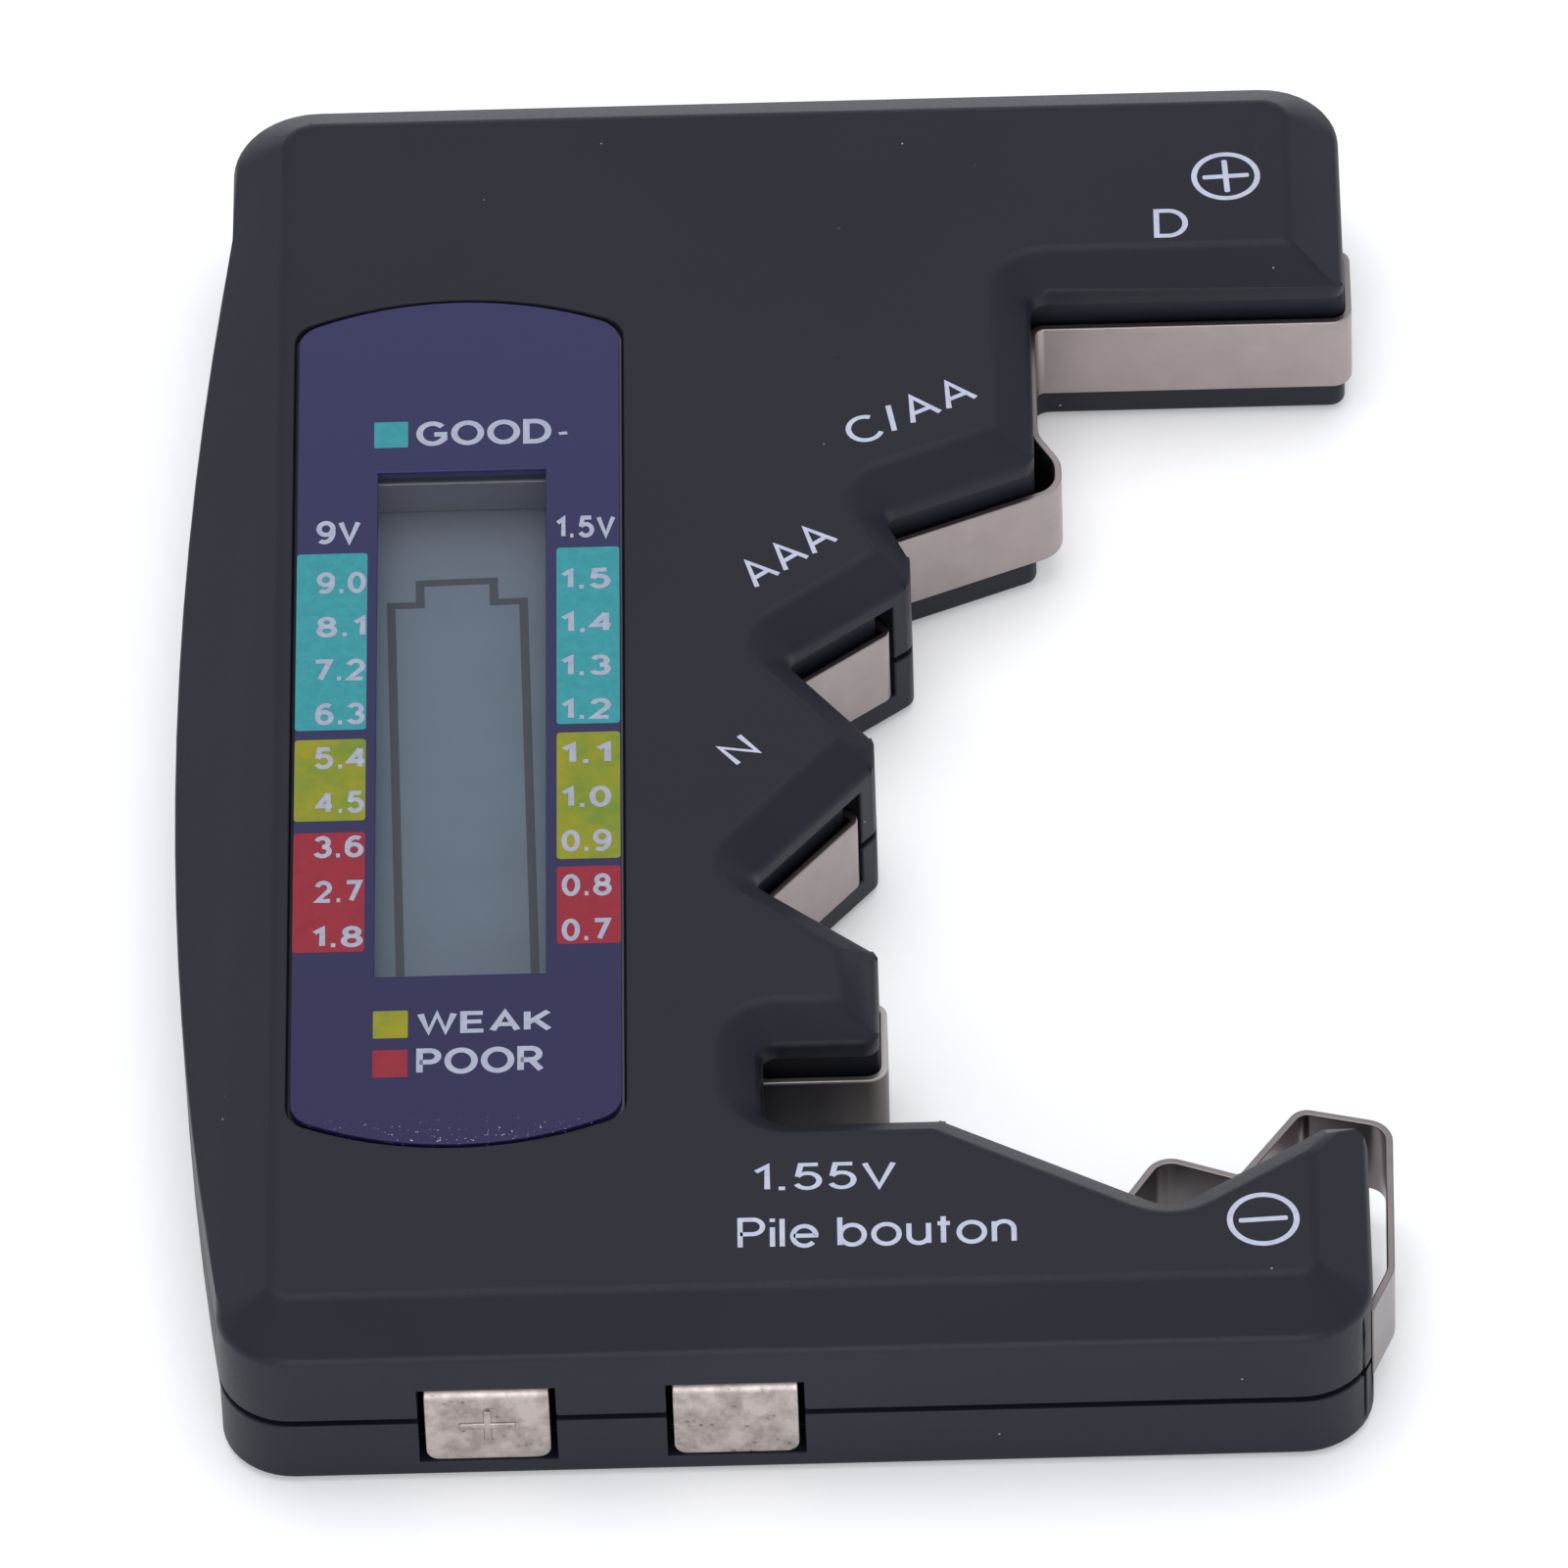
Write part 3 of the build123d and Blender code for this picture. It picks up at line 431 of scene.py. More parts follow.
def take_in(whole, part):
    """Copy one mesh in the making into another."""
    scrap = bpy.data.meshes.new("scrap")
    part.to_mesh(scrap)
    whole.from_mesh(scrap)
    bpy.data.meshes.remove(scrap)


def sharp_edges(mesh, least):
    """Edges whose two faces turn by more than an angle."""
    return [e for e in mesh.edges if len(e.link_faces) == 2 and e.calc_face_angle() > radians(least)]


def outer_edges(mesh, walls, least):
    """The sharp edges that a ray can leave without meeting a wall."""
    found = []
    for edge in sharp_edges(mesh, least):
        out = (edge.link_faces[0].normal + edge.link_faces[1].normal).normalized()
        start = (edge.verts[0].co + edge.verts[1].co) / 2 + out * 0.03 * MM
        level = Vector((out.x, out.y, 0.0))
        ways = [out, Vector((0, 0, 1)), Vector((0, 0, -1))]
        if level.length > 0.1:
            ways.append(level.normalized())
        if any(walls.ray_cast(start, way)[0] is None for way in ways):
            found.append(edge)
    return found


def round_off(mesh, edges, radius, segments=3):
    """Bevel some edges to a small radius."""
    bmesh.ops.bevel(mesh, geom=edges, offset=radius, offset_type="OFFSET", segments=segments, profile=0.5,
                    affect="EDGES", clamp_overlap=False, loop_slide=True)
    bmesh.ops.recalc_face_normals(mesh, faces=mesh.faces)


def folds(trial, before, radius):
    """Middles of small faces that a bevel has folded over, as they face against the shape before."""
    found = []
    for face in trial.faces:
        middle = face.calc_center_median()
        _, normal, _, away = before.find_nearest(middle)
        if face.calc_area() < SMALL_FACE ** 2 and (away > 1.5 * radius or face.normal.dot(normal) < 0.1):
            found.append(middle)
    return found


def edges_that_fit(mesh, edges, radius, segments, reach, tries=6):
    """The edges that have room for a bevel, found by trying it on a copy and leaving out what folds."""
    before = BVHTree.FromBMesh(mesh)
    mesh.edges.index_update()
    mesh.edges.ensure_lookup_table()
    kept = [e.index for e in edges]
    for _ in range(tries):
        trial = mesh.copy()
        trial.edges.ensure_lookup_table()
        round_off(trial, [trial.edges[i] for i in kept], radius, segments)
        bad = folds(trial, before, radius)
        trial.free()
        tight = set()
        for i in kept:
            first, last = (v.co for v in mesh.edges[i].verts)
            for spot in bad:
                part = intersect_point_line(spot, first, last)[1]
                on_line = first.lerp(last, min(1.0, max(0.0, part)))
                if (spot - on_line).length < reach and (last - first).length < SHORT_EDGE:
                    tight.add(i)
        if not tight:
            break
        kept = [i for i in kept if i not in tight]
    print("bevel", round(radius / MM, 2), "mm on", len(kept), "of", len(edges), "edges")
    return [mesh.edges[i] for i in kept]


def make_piece(name, mesh, finish, body, stands_for=(), smooth=35):
    """A finished piece at the origin that rides on a body, with shading that keeps flats flat."""
    data = bpy.data.meshes.new(name)
    mesh.to_mesh(data)
    mesh.free()
    data.shade_smooth()
    data.set_sharp_from_angle(angle=radians(smooth))
    holder = bpy.data.objects.new(name + "_raw", data)
    scene.collection.objects.link(holder)
    weigh = holder.modifiers.new("weigh", "WEIGHTED_NORMAL")
    weigh.keep_sharp = True
    holder_now = holder.evaluated_get(bpy.context.evaluated_depsgraph_get())
    final = bpy.data.meshes.new_from_object(holder_now)
    bpy.data.objects.remove(holder)
    final.name = name
    final.materials.clear()
    final.materials.append(finish)
    made = bpy.data.objects.new(name, final)
    scene.collection.objects.link(made)
    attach(made, body)
    if stands_for:
        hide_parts(*stands_for)
    print(name, "faces", len(final.polygons))
    return made


# %% [markdown]
# The two shells of the case come first. The face of the front shell is lowered by the height of
# two layers of ink, so that the printing on it stays inside the size of the real part. The edges
# of its face and chamfers get a radius of a third of a millimetre, and all other edges about a
# tenth. The recess of the label is so shallow that it has room for the small radius only.

# %% Case shells
CASE_ROUND, CASE_REACH = 0.34 * MM, 0.7 * MM
SEAM_ROUND, SEAM_REACH = 0.12 * MM, 0.25 * MM
LEAST_TURN = 28
CHAMFERS_HIGH = 2.2 * MM
WELL_MARGIN, WELL_LOW = 0.4, -0.45
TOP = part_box("front_case")[1].z


def lower_face(mesh):
    """Lower what lies in the plane of the face."""
    moved = [v for v in mesh.verts if v.co.z > TOP - 0.001 * MM]
    for v in moved:
        v.co.z -= FACE_DROP
    return len(moved)


shells = {name: joined_copy(name) for name in ("front_case", "back_case")}
both = bmesh.new()
for shell in shells.values():
    take_in(both, shell)
walls = BVHTree.FromBMesh(both)
both.free()
print("lowered", lower_face(shells["front_case"]), "corners of the face")


def by_the_label(edge, margin=0.6 * MM):
    """Whether an edge belongs to the shallow recess of the label."""
    return all(label_low.x - margin < v.co.x < label_high.x + margin
               and label_low.y - margin < v.co.y < label_high.y + margin for v in edge.verts)


pieces = {}
for name, shell in shells.items():
    edges = outer_edges(shell, walls, LEAST_TURN)
    broad = [e for e in edges if min(v.co.z for v in e.verts) > TOP - CHAMFERS_HIGH and not by_the_label(e)]
    fitting = edges_that_fit(shell, broad, CASE_ROUND, 3, CASE_REACH) if broad else []
    fine = [e for e in edges if e not in set(fitting)]
    if fitting:
        round_off(shell, fitting, CASE_ROUND)
    fine = edges_that_fit(shell, [e for e in fine if e.is_valid], SEAM_ROUND, 2, SEAM_REACH)
    round_off(shell, fine, SEAM_ROUND, 2)
    pieces[name] = make_piece(
        name.replace("case", "shell"), shell, abs_black, "tester", (name,))

# The walls of the display's well lie under the lens. They get a smooth finish, and their grey is a painted
# reflection from the lens over the dark plastic.
well = plain_finish("ABS, walls of the display's well, painted reflection", "#555664", "#5c5d6b", 3.0, 0.3)
front = pieces["front_case"].data
front.materials.append(well)
for polygon in front.polygons:
    off = polygon.center / MM - Vector((WINDOW.x, WINDOW.y, TOP / MM))
    beside = abs(off.x) < WINDOW_WIDE / 2 + WELL_MARGIN and abs(off.y) < WINDOW_LONG / 2 + WELL_MARGIN
    if beside and off.z < WELL_LOW:
        polygon.material_index = 1
print("polished faces", sum(p.material_index for p in front.polygons))

# %% [markdown]
# Strip metal is cut with shears, which leaves its edges slightly round. A bevel of less than a
# tenth of a millimetre on the long edges gives each strip the thin bright line that metal has.

# %% Contact strips, spring and pads
STRIP_ROUND = 0.08 * MM
CUT_TURN = 50
STRIPS = ["positive_strip_d_c_aa", "positive_strip_aaa", "positive_strip_n", "positive_strip_button",
          "negative_strip_button"]

# The spring gets a nickel finish that is darker than the strips'.
STRIP_FINISH = {
    "positive_strip_button": painted_shade_finish,
    "negative_spring": plain_finish(
        "spring steel, darker nickel", "#7d7677", "#928a89", 1.5, 0.32, metallic=1.0),
}
for name in STRIPS + ["negative_spring"]:
    strip = joined_copy(name)
    round_off(strip, sharp_edges(strip, CUT_TURN), STRIP_ROUND, 2)
    make_piece(name + "_steel", strip, STRIP_FINISH.get(name, nickel_strip),
               "spring" if name == "negative_spring" else "tester", (name,))
for name in ("nine_volt_positive_pad", "nine_volt_negative_pad"):
    pad = joined_copy(name)
    round_off(pad, sharp_edges(pad, CUT_TURN), STRIP_ROUND, 2)
    make_piece(name + "_steel", pad, nickel_pad, "tester", (name,))

# %% [markdown]
# The label and the lens are copied in the same way. The label is lowered with the face, and both
# get a very small bevel, because film and acrylic are cut with a clean edge.

# %% Label and lens
LABEL_ROUND, LENS_ROUND = 0.05 * MM, 0.08 * MM
label = joined_copy("display_label")
lower_face(label)
round_off(label, sharp_edges(label, CUT_TURN), LABEL_ROUND, 2)
make_piece("label_sheet", label, film_blue, "tester", ("display_label",))
window = joined_copy("display_lens")
round_off(window, sharp_edges(window, CUT_TURN), LENS_ROUND, 2)
make_piece("lens_clear", window, clear_acrylic, "tester", ("display_lens",))

# %% [markdown]
# Printing is a layer of ink with a real height, so each sign is a very thin solid. The letters on
# such tools are plain strokes of even width, so each glyph is listed as a few lines and arcs in a
# box one unit high, and a ribbon follows them with the width of the pen. A pen of another width
# gives the bold letters of the label and the light ones of the case from the same list. Each stroke
# of a letter is a micrometre or two lower than the one before, so that crossing strokes never
# share a surface. Signs of one ink are gathered in one mesh, and a second layer lies on the first.

# %% Helpers for printing
FACE = TOP - FACE_DROP
INK_SINK = 0.004 * MM
STROKE_STEP = 0.12


def placed(mesh, centre, turn=0.0, layer=0, base=None):
    """Turn a flat mesh, move it to its centre, and give it the height of its layer of ink."""
    ground = FACE if base is None else base
    low = ground + layer * INK_HIGH - (INK_SINK if layer == 0 else 0.0)
    high = ground + (layer + 1) * INK_HIGH
    spin = Matrix.Rotation(radians(turn), 4, "Z")
    for v in mesh.verts:
        spot = spin @ Vector((v.co.x, v.co.y, 0.0))
        v.co = (centre[0] * MM + spot.x, centre[1] * MM + spot.y, low + (v.co.z + 0.5) * (high - low))
    return mesh


def arc(x, y, x_radius, y_radius, first, last, steps=20):
    """Points on an ellipse between two angles."""
    angles = [radians(first + (last - first) * i / steps) for i in range(steps + 1)]
    return [(x + x_radius * cos(a), y + y_radius * sin(a)) for a in angles]


def ribbon(points, width, top=0.5):
    """A line of even width as a thin solid; it is a band when its last point is its first."""
    ring = (Vector(points[0]) - Vector(points[-1])).length < 1e-6
    spots = [Vector(p) for p in (points[:-1] if ring else points)]
    count = len(spots)
    mesh = bmesh.new()
    rows = []
    for i, spot in enumerate(spots):
        ways = []
        if ring or i > 0:
            ways.append((spot - spots[i - 1]).normalized())
        if ring or i < count - 1:
            ways.append((spots[(i + 1) % count] - spot).normalized())
        middle = sum(ways, Vector((0, 0))).normalized()
        across = Vector((-middle.y, middle.x)) * (width / 2) / max(0.5, middle.dot(ways[0]))
        rows.append([mesh.verts.new((*(spot + side * across), z))
                     for side, z in ((1, top), (-1, top), (-1, -0.5), (1, -0.5))])
    for i in range(count if ring else count - 1):
        a, b = rows[i], rows[(i + 1) % count]
        for k in range(4):
            mesh.faces.new((a[k], a[(k + 1) % 4], b[(k + 1) % 4], b[k]))
    if not ring:
        mesh.faces.new(rows[0])
        mesh.faces.new(reversed(rows[-1]))
    bmesh.ops.recalc_face_normals(mesh, faces=mesh.faces)
    return mesh


BOW = [(0.0, 0.0), (0.0, 1.0), (0.34, 1.0), *arc(0.34, 0.735, 0.28, 0.265, 80, -80),
       (0.34, 0.47), (0.0, 0.47)]
GLYPHS = {
    " ": (0.12, []),
    ".": (0.16, [[(0.0, 0.02), (0.16, 0.02)]]),
    "-": (0.3, [[(0.0, 0.1), (0.3, 0.16)]]),
    "/": (0.3, [[(0.0, -0.02), (0.3, 1.02)]]),
    "0": (0.58, [arc(0.29, 0.5, 0.29, 0.5, 0, 360, 28)]),
    "1": (0.32, [[(0.02, 0.74), (0.3, 0.97), (0.3, 0.0)]]),
    "2": (0.6, [[*arc(0.3, 0.7, 0.28, 0.3, 165, -30), (0.04, 0.0), (0.6, 0.0)]]),
    "3": (0.58, [arc(0.29, 0.75, 0.25, 0.25, 160, -90), arc(0.29, 0.26, 0.29, 0.26, 90, -160)]),
    "4": (0.62, [[(0.45, 0.0), (0.45, 1.0)], [(0.43, 0.98), (0.0, 0.3), (0.62, 0.3)]]),
    "5": (0.6, [[(0.56, 1.0), (0.13, 1.0), (0.05, 0.5)], arc(0.29, 0.32, 0.3, 0.32, 145, -155)]),
    "6": (0.6, [arc(0.3, 0.31, 0.29, 0.31, 0, 360, 24), arc(0.36, 0.5, 0.35, 0.5, 190, 58)]),
    "7": (0.58, [[(0.0, 1.0), (0.58, 1.0), (0.2, 0.0)]]),
    "8": (0.6, [arc(0.3, 0.76, 0.24, 0.24, 0, 360, 24), arc(0.3, 0.26, 0.29, 0.27, 0, 360, 24)]),
    "9": (0.6, [arc(0.3, 0.69, 0.29, 0.31, 0, 360, 24), arc(0.24, 0.5, 0.35, 0.5, 10, -122)]),
    "A": (0.8, [[(0.0, 0.0), (0.4, 1.0), (0.8, 0.0)], [(0.14, 0.33), (0.66, 0.33)]]),
    "C": (0.8, [arc(0.44, 0.5, 0.44, 0.5, 45, 315)]),
    "D": (0.74, [[(0.0, 0.0), (0.0, 1.0), (0.3, 1.0), *arc(0.3, 0.5, 0.44, 0.5, 85, -85),
                  (0.3, 0.0), (0.0, 0.0)]]),
    "E": (0.62, [[(0.62, 1.0), (0.0, 1.0), (0.0, 0.0), (0.64, 0.0)], [(0.0, 0.52), (0.57, 0.52)]]),
    "G": (0.86, [[*arc(0.44, 0.5, 0.44, 0.5, 42, 315), (0.83, 0.22), (0.83, 0.46), (0.5, 0.46)]]),
    "K": (0.7, [[(0.0, 0.0), (0.0, 1.0)], [(0.68, 1.0), (0.04, 0.38)], [(0.24, 0.56), (0.7, 0.0)]]),
    "N": (0.68, [[(0.0, 0.0), (0.0, 1.0), (0.68, 0.0), (0.68, 1.0)]]),
    "O": (0.9, [arc(0.45, 0.5, 0.45, 0.5, 0, 360, 32)]),
    "P": (0.62, [BOW]),
    "R": (0.68, [BOW, [(0.34, 0.47), (0.68, 0.0)]]),
    "V": (0.72, [[(0.0, 1.0), (0.36, 0.0), (0.72, 1.0)]]),
    "W": (1.08, [[(0.0, 1.0), (0.27, 0.0), (0.54, 1.0), (0.81, 0.0), (1.08, 1.0)]]),
    "b": (0.66, [[(0.0, 1.0), (0.0, 0.0)], arc(0.34, 0.36, 0.33, 0.36, 0, 360, 24)]),
    "e": (0.66, [[(0.04, 0.37), (0.65, 0.37), *arc(0.34, 0.36, 0.32, 0.36, 10, 318)]]),
    "i": (0.0, [[(0.0, 0.0), (0.0, 0.7)], [(0.0, 0.9), (0.0, 1.02)]]),
    "l": (0.0, [[(0.0, 0.0), (0.0, 1.0)]]),
    "n": (0.54, [[(0.0, 0.72), (0.0, 0.0)], [*arc(0.27, 0.44, 0.27, 0.28, 180, 0), (0.54, 0.0)]]),
    "o": (0.7, [arc(0.35, 0.36, 0.35, 0.36, 0, 360, 28)]),
    "t": (0.3, [[(0.14, 0.95), (0.14, 0.0)], [(-0.02, 0.7), (0.32, 0.7)]]),
    "u": (0.54, [[(0.0, 0.72), (0.0, 0.28), *arc(0.27, 0.27, 0.27, 0.27, 190, 350)],
                 [(0.54, 0.72), (0.54, 0.0)]]),
}


def word(text, wide, high, pen=0.145, gap=0.27):
    """A word of even strokes as a thin solid of a width and a height in mm, centred on the origin."""
    whole = bmesh.new()
    x = 0.0
    for sign in text:
        advance, strokes = GLYPHS[sign]
        for order, stroke in enumerate(strokes):
            line = ribbon([(x + px, py) for px, py in stroke], pen, top=0.5 - STROKE_STEP * order)
            take_in(whole, line)
            line.free()
        x += advance + gap
    xs, ys = [v.co.x for v in whole.verts], [v.co.y for v in whole.verts]
    for v in whole.verts:
        v.co.x = (v.co.x - (min(xs) + max(xs)) / 2) * wide * MM / (max(xs) - min(xs))
        v.co.y = (v.co.y - (min(ys) + max(ys)) / 2) * high * MM / (max(ys) - min(ys))
    return whole


def slab(points):
    """A thin solid of a closed outline in mm."""
    mesh = bmesh.new()
    face = mesh.faces.new([mesh.verts.new((x * MM, y * MM, -0.5)) for x, y in points])
    top = bmesh.ops.extrude_face_region(mesh, geom=[face])["geom"]
    for item in top:
        if isinstance(item, bmesh.types.BMVert):
            item.co.z = 0.5
    bmesh.ops.recalc_face_normals(mesh, faces=mesh.faces)
    return mesh


def patch(wide, high, corner=0.2, steps=4):
    """A rectangle with round corners."""
    points = []
    for sx, sy, first in ((1, 1, 0), (-1, 1, 90), (-1, -1, 180), (1, -1, 270)):
        for i in range(steps + 1):
            angle = radians(first + 90 * i / steps)
            points.append((sx * (wide / 2 - corner) + corner * cos(angle),
                           sy * (high / 2 - corner) + corner * sin(angle)))
    return slab(points)


def in_mm_plane(mesh):
    """Take a flat mesh from mm to metres."""
    for v in mesh.verts:
        v.co.x *= MM
        v.co.y *= MM
    return mesh


def gather(name, signs, finish):
    """Join signs of one ink into one piece."""
    whole = bmesh.new()
    for sign in signs:
        take_in(whole, sign)
        sign.free()
    return make_piece(name, whole, finish, "tester")


print("ink is", INK_HIGH / MM, "mm high, on a face at", round(FACE / MM, 3))

# %% [markdown]
# The label's scale has a column on each side of the window. Its coloured bars say good, weak and
# poor, and the voltage numbers stand on them at an even pitch. Only the first number's place and
# the pitch are given, so a change of pitch moves the whole column.

# %% Printing on the label
BAR_MARGIN = 0.02
LEFT_BARS = (label_low.x / MM + BAR_MARGIN, -21.33)
RIGHT_BARS = (-11.36, label_high.x / MM - BAR_MARGIN)
BARS = [
    ("teal", LEFT_BARS, 3.71, 13.08), ("lime", LEFT_BARS, -6.50, 5.95), ("red", LEFT_BARS, -14.65, 8.64),
    ("teal", RIGHT_BARS, 3.74, 13.08), ("lime", RIGHT_BARS, -8.04, 9.22), ("red", RIGHT_BARS, -16.00, 5.58),
]
KEYS = [("teal", -20.13, 19.10), ("lime", -19.94, -24.25), ("red", -19.95, -27.04)]
KEY_SIZE = (1.80, 1.94)
WORDS = [
    ("GOOD", (-15.21, 19.11), 7.18, 1.86), ("WEAK", (-15.10, -24.21), 6.92, 1.82),
    ("POOR", (-15.32, -26.95), 6.55, 1.86), ("9V", (-22.88, 11.77), 2.33, 1.9),
    ("-", (-11.0, 18.9), 0.5, 0.26),
    ("1.5V", (-9.81, 11.78), 3.11, 1.86),
]
NUMBER_SIZE = (2.6, 1.6)
LEFT_NUMBERS = (-22.7, 8.07, 3.24, [9.0, 8.1, 7.2, 6.3, 5.4, 4.5, 3.6, 2.7, 1.8])
RIGHT_NUMBERS = (-9.81, 7.97, 3.22, [1.5, 1.4, 1.3, 1.2, 1.1, 1.0, 0.9, 0.8, 0.7])
LABEL_PEN, LABEL_GAP = 0.22, 0.32
NUMBER_PEN, NUMBER_GAP = 0.22, 0.3

colours = {"teal": [], "lime": [], "red": []}
for name, (left, right_end), y, high in BARS:
    colours[name].append(placed(patch(right_end - left, high), ((left + right_end) / 2, y)))
for name, x, y in KEYS:
    colours[name].append(placed(patch(*KEY_SIZE, corner=0.08), (x, y)))
for name, signs in colours.items():
    gather("print_" + name, signs, INKS[name])
signs = [placed(word(text, wide, high, LABEL_PEN, LABEL_GAP), centre, layer=1)
         for text, centre, wide, high in WORDS]
for x, first, pitch, values in (LEFT_NUMBERS, RIGHT_NUMBERS):
    for row, value in enumerate(values):
        number = word(f"{value:.1f}", *NUMBER_SIZE, NUMBER_PEN, NUMBER_GAP)
        signs.append(placed(number, (x, first - row * pitch), layer=1))
gather("print_label_white", signs, INKS["label_white"])

# %% [markdown]
# The case itself is pad printed: a soft silicone pad picks the ink up and presses it on. The signs
# name the battery sizes beside their steps, turned to lie along them, and a plus and a minus in a
# ring show which end of the battery goes where.

# %% Printing on the case
SIGN_R, SIGN_LINE, SIGN_BAR = 1.7, 0.3, 2.5
SIGN_TURN = 3.0
CASE_WORDS = [
    ("1.55V", (2.33, -35.75), 7.25, 2.06, 0.0), ("Pile bouton", (4.93, -39.60), 14.21, 2.19, 0.0),
    ("D", (21.61, 33.82), 1.84, 2.20, 0.0), ("C/AA", (7.35, 20.0), 7.4, 2.15, 28.0),
    ("AAA", (0.7, 9.45), 5.6, 2.1, 38.0), ("N", (-1.85, -5.0), 1.6, 2.0, 40.0),
]
PLUS, MINUS = (24.64, 37.35), (24.60, -39.48)

signs = [placed(word(text, wide, high), centre, turn) for text, centre, wide, high, turn in CASE_WORDS]
for centre in (PLUS, MINUS):
    signs.append(placed(in_mm_plane(ribbon(arc(0, 0, SIGN_R, SIGN_R, 0, 360, 64), SIGN_LINE)), centre))
    signs.append(placed(patch(SIGN_BAR, SIGN_LINE, corner=0.1), centre, turn=SIGN_TURN))
signs.append(placed(patch(SIGN_BAR, SIGN_LINE, corner=0.1), PLUS, turn=SIGN_TURN + 90, layer=1))
gather("print_case_white", signs, INKS["case_white"])

# %% [markdown]
# When it is on, the display draws the outline of a battery with its cap. The outline is one open
# line of even width, so half of it is listed and mirrored, and the same ribbon as in the letters
# follows it.

# %% Display segment
SEGMENT_LINE = 0.46
BODY_HALF, CAP_HALF = 3.5, 1.95
SHOULDER_Y, CAP_Y, OPEN_Y = 9.6, 11.2, WINDOW.y - WINDOW_LONG / 2 - 0.6
SEGMENT_X = -16.5
SEGMENT_TURN = 1.3

half = [(-BODY_HALF, OPEN_Y), (-BODY_HALF, SHOULDER_Y), (-CAP_HALF, SHOULDER_Y), (-CAP_HALF, CAP_Y)]
path = half + [(-x, y) for x, y in reversed(half)]
segment = placed(in_mm_plane(ribbon(path, SEGMENT_LINE)), (SEGMENT_X, 0.0), SEGMENT_TURN,
                 base=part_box("display_polarizer")[1].z)
make_piece("display_battery_outline", segment, display_segment, "tester")

# %% [markdown]
# The positive pad has a plus pressed out of its face, which marks it even when the print has gone.
# It is two crossing ridges with round edges that stand a tenth of a millimetre proud of the sheet.

# %% Plus on the positive pad
PLUS_LONG, PLUS_HIGH, RIDGE = 2.9, 2.2, 0.42
RIDGE_PROUD = 0.1

pad_low, pad_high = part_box("nine_volt_positive_pad")
pad_middle = ((pad_low.x + pad_high.x) / 2, (pad_low.z + pad_high.z) / 2)
ridges = bmesh.new()
for wide, high, proud in ((PLUS_LONG, RIDGE, RIDGE_PROUD), (RIDGE, PLUS_HIGH, 0.92 * RIDGE_PROUD)):
    size = Matrix.Diagonal((wide * MM, 2 * proud * MM, high * MM, 1.0))
    spot = Matrix.Translation((pad_middle[0], pad_low.y, pad_middle[1]))
    bmesh.ops.create_cube(ridges, size=1.0, matrix=spot @ size)
round_off(ridges, list(ridges.edges), 0.09 * MM, 3)
make_piece("plus_relief", ridges, nickel_pad, "tester")

# %% [markdown]
# Four small screws hold the shells together from the back. One good screw is made as a turned
# profile with a cross cut in its head. Its head and its tip are taken from the box of the screws
# in the model, and the thread is a plain row of ridges, as nobody sees its turn.

# %% Screw
SCREW_PLACES = [(-23.5, 38.6), (25.0, 38.6), (-23.5, -40.0), (21.0, -42.0)]
HEAD_R, HEAD_HIGH, SHANK_R = 1.8, 1.4, 0.85
HEAD_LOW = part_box("case_screws")[0].z / MM
SHANK_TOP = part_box("case_screws")[1].z / MM
CROSS_LONG, CROSS_WIDE, CROSS_DEEP = 2.2, 0.5, 0.8
THREAD_PITCH, THREAD_DEEP = 0.8, 0.16

profile = [(0.0, HEAD_LOW), (HEAD_R - 0.45, HEAD_LOW), (HEAD_R - 0.12, HEAD_LOW + 0.18),
           (HEAD_R, HEAD_LOW + 0.5), (HEAD_R, HEAD_LOW + HEAD_HIGH), (SHANK_R, HEAD_LOW + HEAD_HIGH)]
z = HEAD_LOW + HEAD_HIGH + 0.4
while z < SHANK_TOP - 1.2:
    profile += [(SHANK_R - THREAD_DEEP, z), (SHANK_R, z + THREAD_PITCH / 2)]
    z += THREAD_PITCH
profile += [(SHANK_R - THREAD_DEEP, z), (0.25, SHANK_TOP - 0.1), (0.0, SHANK_TOP)]
turned = bmesh.new()
line = [turned.verts.new((x * MM, 0.0, z * MM)) for x, z in profile]
edges = [turned.edges.new(pair) for pair in zip(line, line[1:])]
bmesh.ops.spin(turned, geom=line + edges, cent=(0, 0, 0), axis=(0, 0, 1), angle=2 * pi, steps=40)
bmesh.ops.remove_doubles(turned, verts=turned.verts, dist=0.0005 * MM)
bmesh.ops.recalc_face_normals(turned, faces=turned.faces)
cross = bmesh.new()
for x_size, y_size in ((CROSS_LONG, CROSS_WIDE), (CROSS_WIDE, CROSS_LONG)):
    size = Matrix.Diagonal((x_size * MM, y_size * MM, 2 * CROSS_DEEP * MM, 1.0))
    bmesh.ops.create_cube(cross, size=1.0, matrix=Matrix.Translation((0, 0, HEAD_LOW * MM)) @ size)
solids = {}
for name, mesh in (("screw_turned", turned), ("screw_cross", cross)):
    data = bpy.data.meshes.new(name)
    mesh.to_mesh(data)
    mesh.free()
    solids[name] = bpy.data.objects.new(name, data)
    scene.collection.objects.link(solids[name])
cut = solids["screw_turned"].modifiers.new("cut", "BOOLEAN")
cut.operation = "DIFFERENCE"
cut.object = solids["screw_cross"]
cut.solver = "EXACT"
cut.use_self = True
now = solids["screw_turned"].evaluated_get(bpy.context.evaluated_depsgraph_get())
one_screw = bpy.data.objects.new("one_screw", bpy.data.meshes.new_from_object(now))
scene.collection.objects.link(one_screw)
for solid in solids.values():
    bpy.data.objects.remove(solid)
one_screw.data.shade_smooth()
one_screw.data.set_sharp_from_angle(angle=radians(35))
print("one screw has", len(one_screw.data.polygons), "faces")

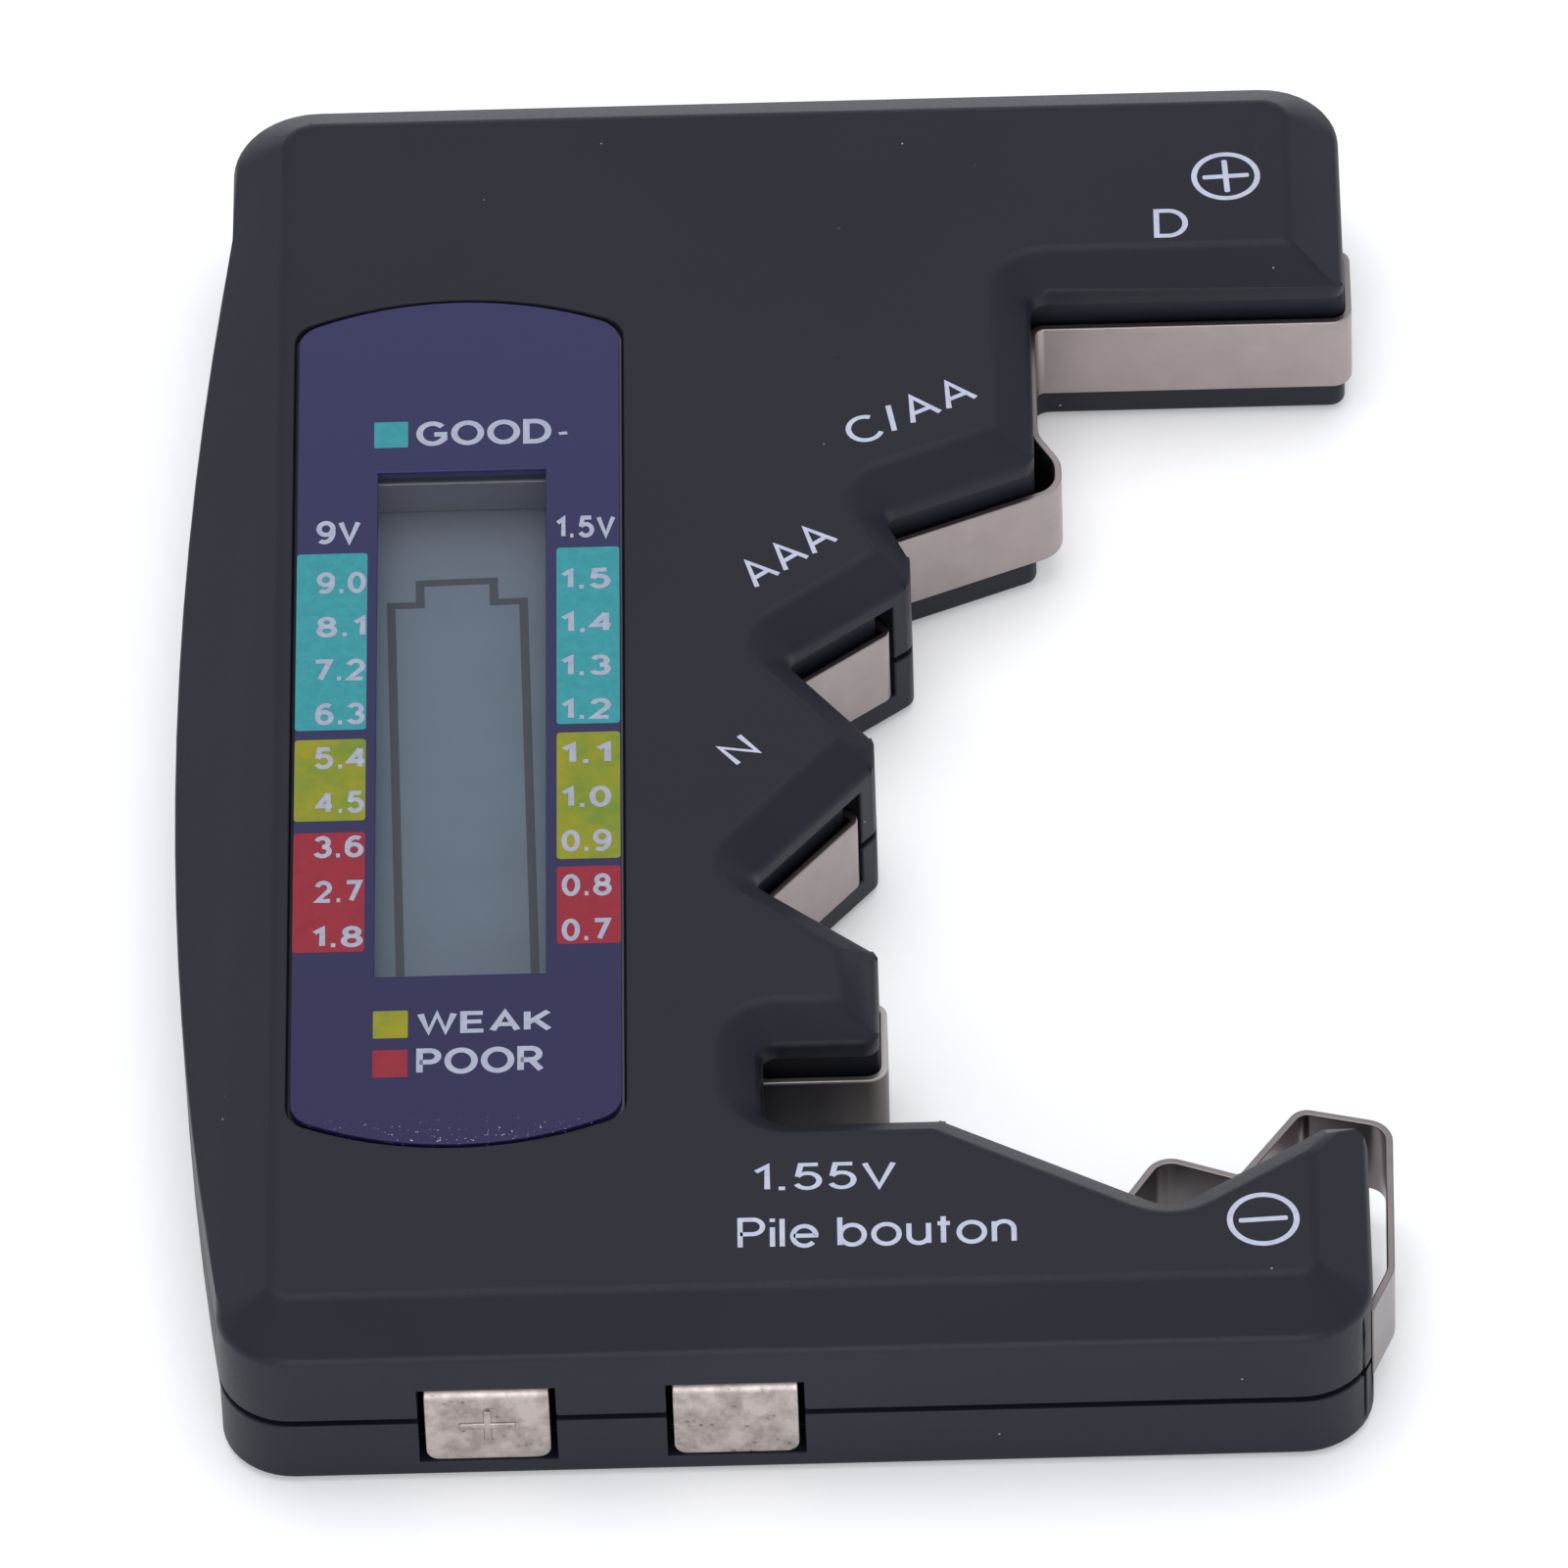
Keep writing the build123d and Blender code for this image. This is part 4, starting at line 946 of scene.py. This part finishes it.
# %% [markdown]
# Geometry Nodes put a copy of the screw on each of the four places and turn it by a random angle
# with a fixed seed, as real screws never line up. The instances are made real at the end, because
# only real faces leave the file.

# %% Screws on their places
grow = bpy.data.node_groups.new("screws on places", "GeometryNodeTree")
grow.interface.new_socket("Geometry", in_out="INPUT", socket_type="NodeSocketGeometry")
grow.interface.new_socket("Screw", in_out="INPUT", socket_type="NodeSocketObject")
grow.interface.new_socket("Most Turn", in_out="INPUT", socket_type="NodeSocketFloat")
grow.interface.new_socket("Seed", in_out="INPUT", socket_type="NodeSocketInt")
grow.interface.new_socket("Metal", in_out="INPUT", socket_type="NodeSocketMaterial")
grow.interface.new_socket("Geometry", in_out="OUTPUT", socket_type="NodeSocketGeometry")
given = add(grow, "NodeGroupInput").outputs
source = add(grow, "GeometryNodeObjectInfo", {}, {"Object": given["Screw"]})
angle = add(grow, "FunctionNodeRandomValue", {"data_type": "FLOAT", 2: 0.0},
            {3: given["Most Turn"], "Seed": given["Seed"]})
turn = add(grow, "ShaderNodeCombineXYZ", {}, {"Z": angle.outputs[1]})
spread = add(grow, "GeometryNodeInstanceOnPoints", {},
             {"Points": given["Geometry"], "Instance": source.outputs["Geometry"],
              "Rotation": turn.outputs[0]})
real = add(grow, "GeometryNodeRealizeInstances", {}, {0: spread.outputs[0]})
plated = add(grow, "GeometryNodeSetMaterial", {}, {"Geometry": real.outputs[0], "Material": given["Metal"]})
add(grow, "NodeGroupOutput", {}, {"Geometry": plated.outputs[0]})

places = bpy.data.meshes.new("screw_places")
places.from_pydata([(x * MM, y * MM, 0.0) for x, y in SCREW_PLACES], [], [])
holder = bpy.data.objects.new("screw_places", places)
scene.collection.objects.link(holder)
fit = holder.modifiers.new("screws", "NODES")
fit.node_group = grow
socket_of = {item.name: item.identifier for item in grow.interface.items_tree if item.in_out == "INPUT"}
fit[socket_of["Screw"]] = one_screw
fit[socket_of["Most Turn"]] = 2 * pi
fit[socket_of["Seed"]] = 7
fit[socket_of["Metal"]] = SCREW_STEEL
final = bpy.data.meshes.new_from_object(holder.evaluated_get(bpy.context.evaluated_depsgraph_get()))
bpy.data.objects.remove(holder)
bpy.data.objects.remove(one_screw)
final.name = "screws"
screws = bpy.data.objects.new("screws_cross_head", final)
scene.collection.objects.link(screws)
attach(screws, "tester")
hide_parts("case_screws")
print("screws", len(SCREW_PLACES), "faces", len(final.polygons))

# %% [markdown]
# The object lies on a plain white table in a light tent, whose cloth walls shine evenly from every
# side, so shadows are faint and the metal has something pale to reflect. Two weak soft lamps add
# a little shape from above and from the front. The floor isn't part of the object.

# %% Floor and light
FLOOR_SIZE = 6.0
floor_white, tree, shader, mm = new_finish(
    "matt white paper", Roughness=0.9, Emission_Color=linear("#ffffff"), Emission_Strength=0.2)
fibre = add(tree, "ShaderNodeTexNoise", {"Scale": 1 / 0.8, "Detail": 3.0}, {"Vector": mm})
colour = add(tree, "ShaderNodeMix", {"data_type": "RGBA", 6: linear("#f6f6f7"), 7: linear("#fbfbfb")},
             {0: fibre.outputs[0]})
tree.links.new(colour.outputs[2], shader.inputs["Base Color"])
sheet = bmesh.new()
bmesh.ops.create_grid(sheet, x_segments=2, y_segments=2, size=FLOOR_SIZE / 2,
                      matrix=Matrix.Translation((0, 0, -0.02 * MM)))
data = bpy.data.meshes.new("floor")
sheet.to_mesh(data)
sheet.free()
data.materials.append(floor_white)
floor = bpy.data.objects.new("floor", data)
scene.collection.objects.link(floor)

room = bpy.data.worlds.new("room")
room.use_nodes = True
room.node_tree.nodes["Background"].inputs["Color"].default_value = linear("#f4f6ff")
room.node_tree.nodes["Background"].inputs["Strength"].default_value = 0.72
scene.world = room


def soft_lamp(name, place, size, power):
    """A square lamp that points at the middle of the object."""
    data = bpy.data.lights.new(name, "AREA")
    data.size = size
    data.energy = power
    lamp = bpy.data.objects.new(name, data)
    lamp.location = place
    lamp.rotation_euler = (-Vector(place)).to_track_quat("-Z", "Y").to_euler()
    scene.collection.objects.link(lamp)


soft_lamp("lamp_over", (-0.05, 0.28, 1.25), 1.0, 6.0)
soft_lamp("lamp_front", (0.1, -1.4, 0.35), 1.0, 9.0)
scene.view_settings.view_transform = "Standard"
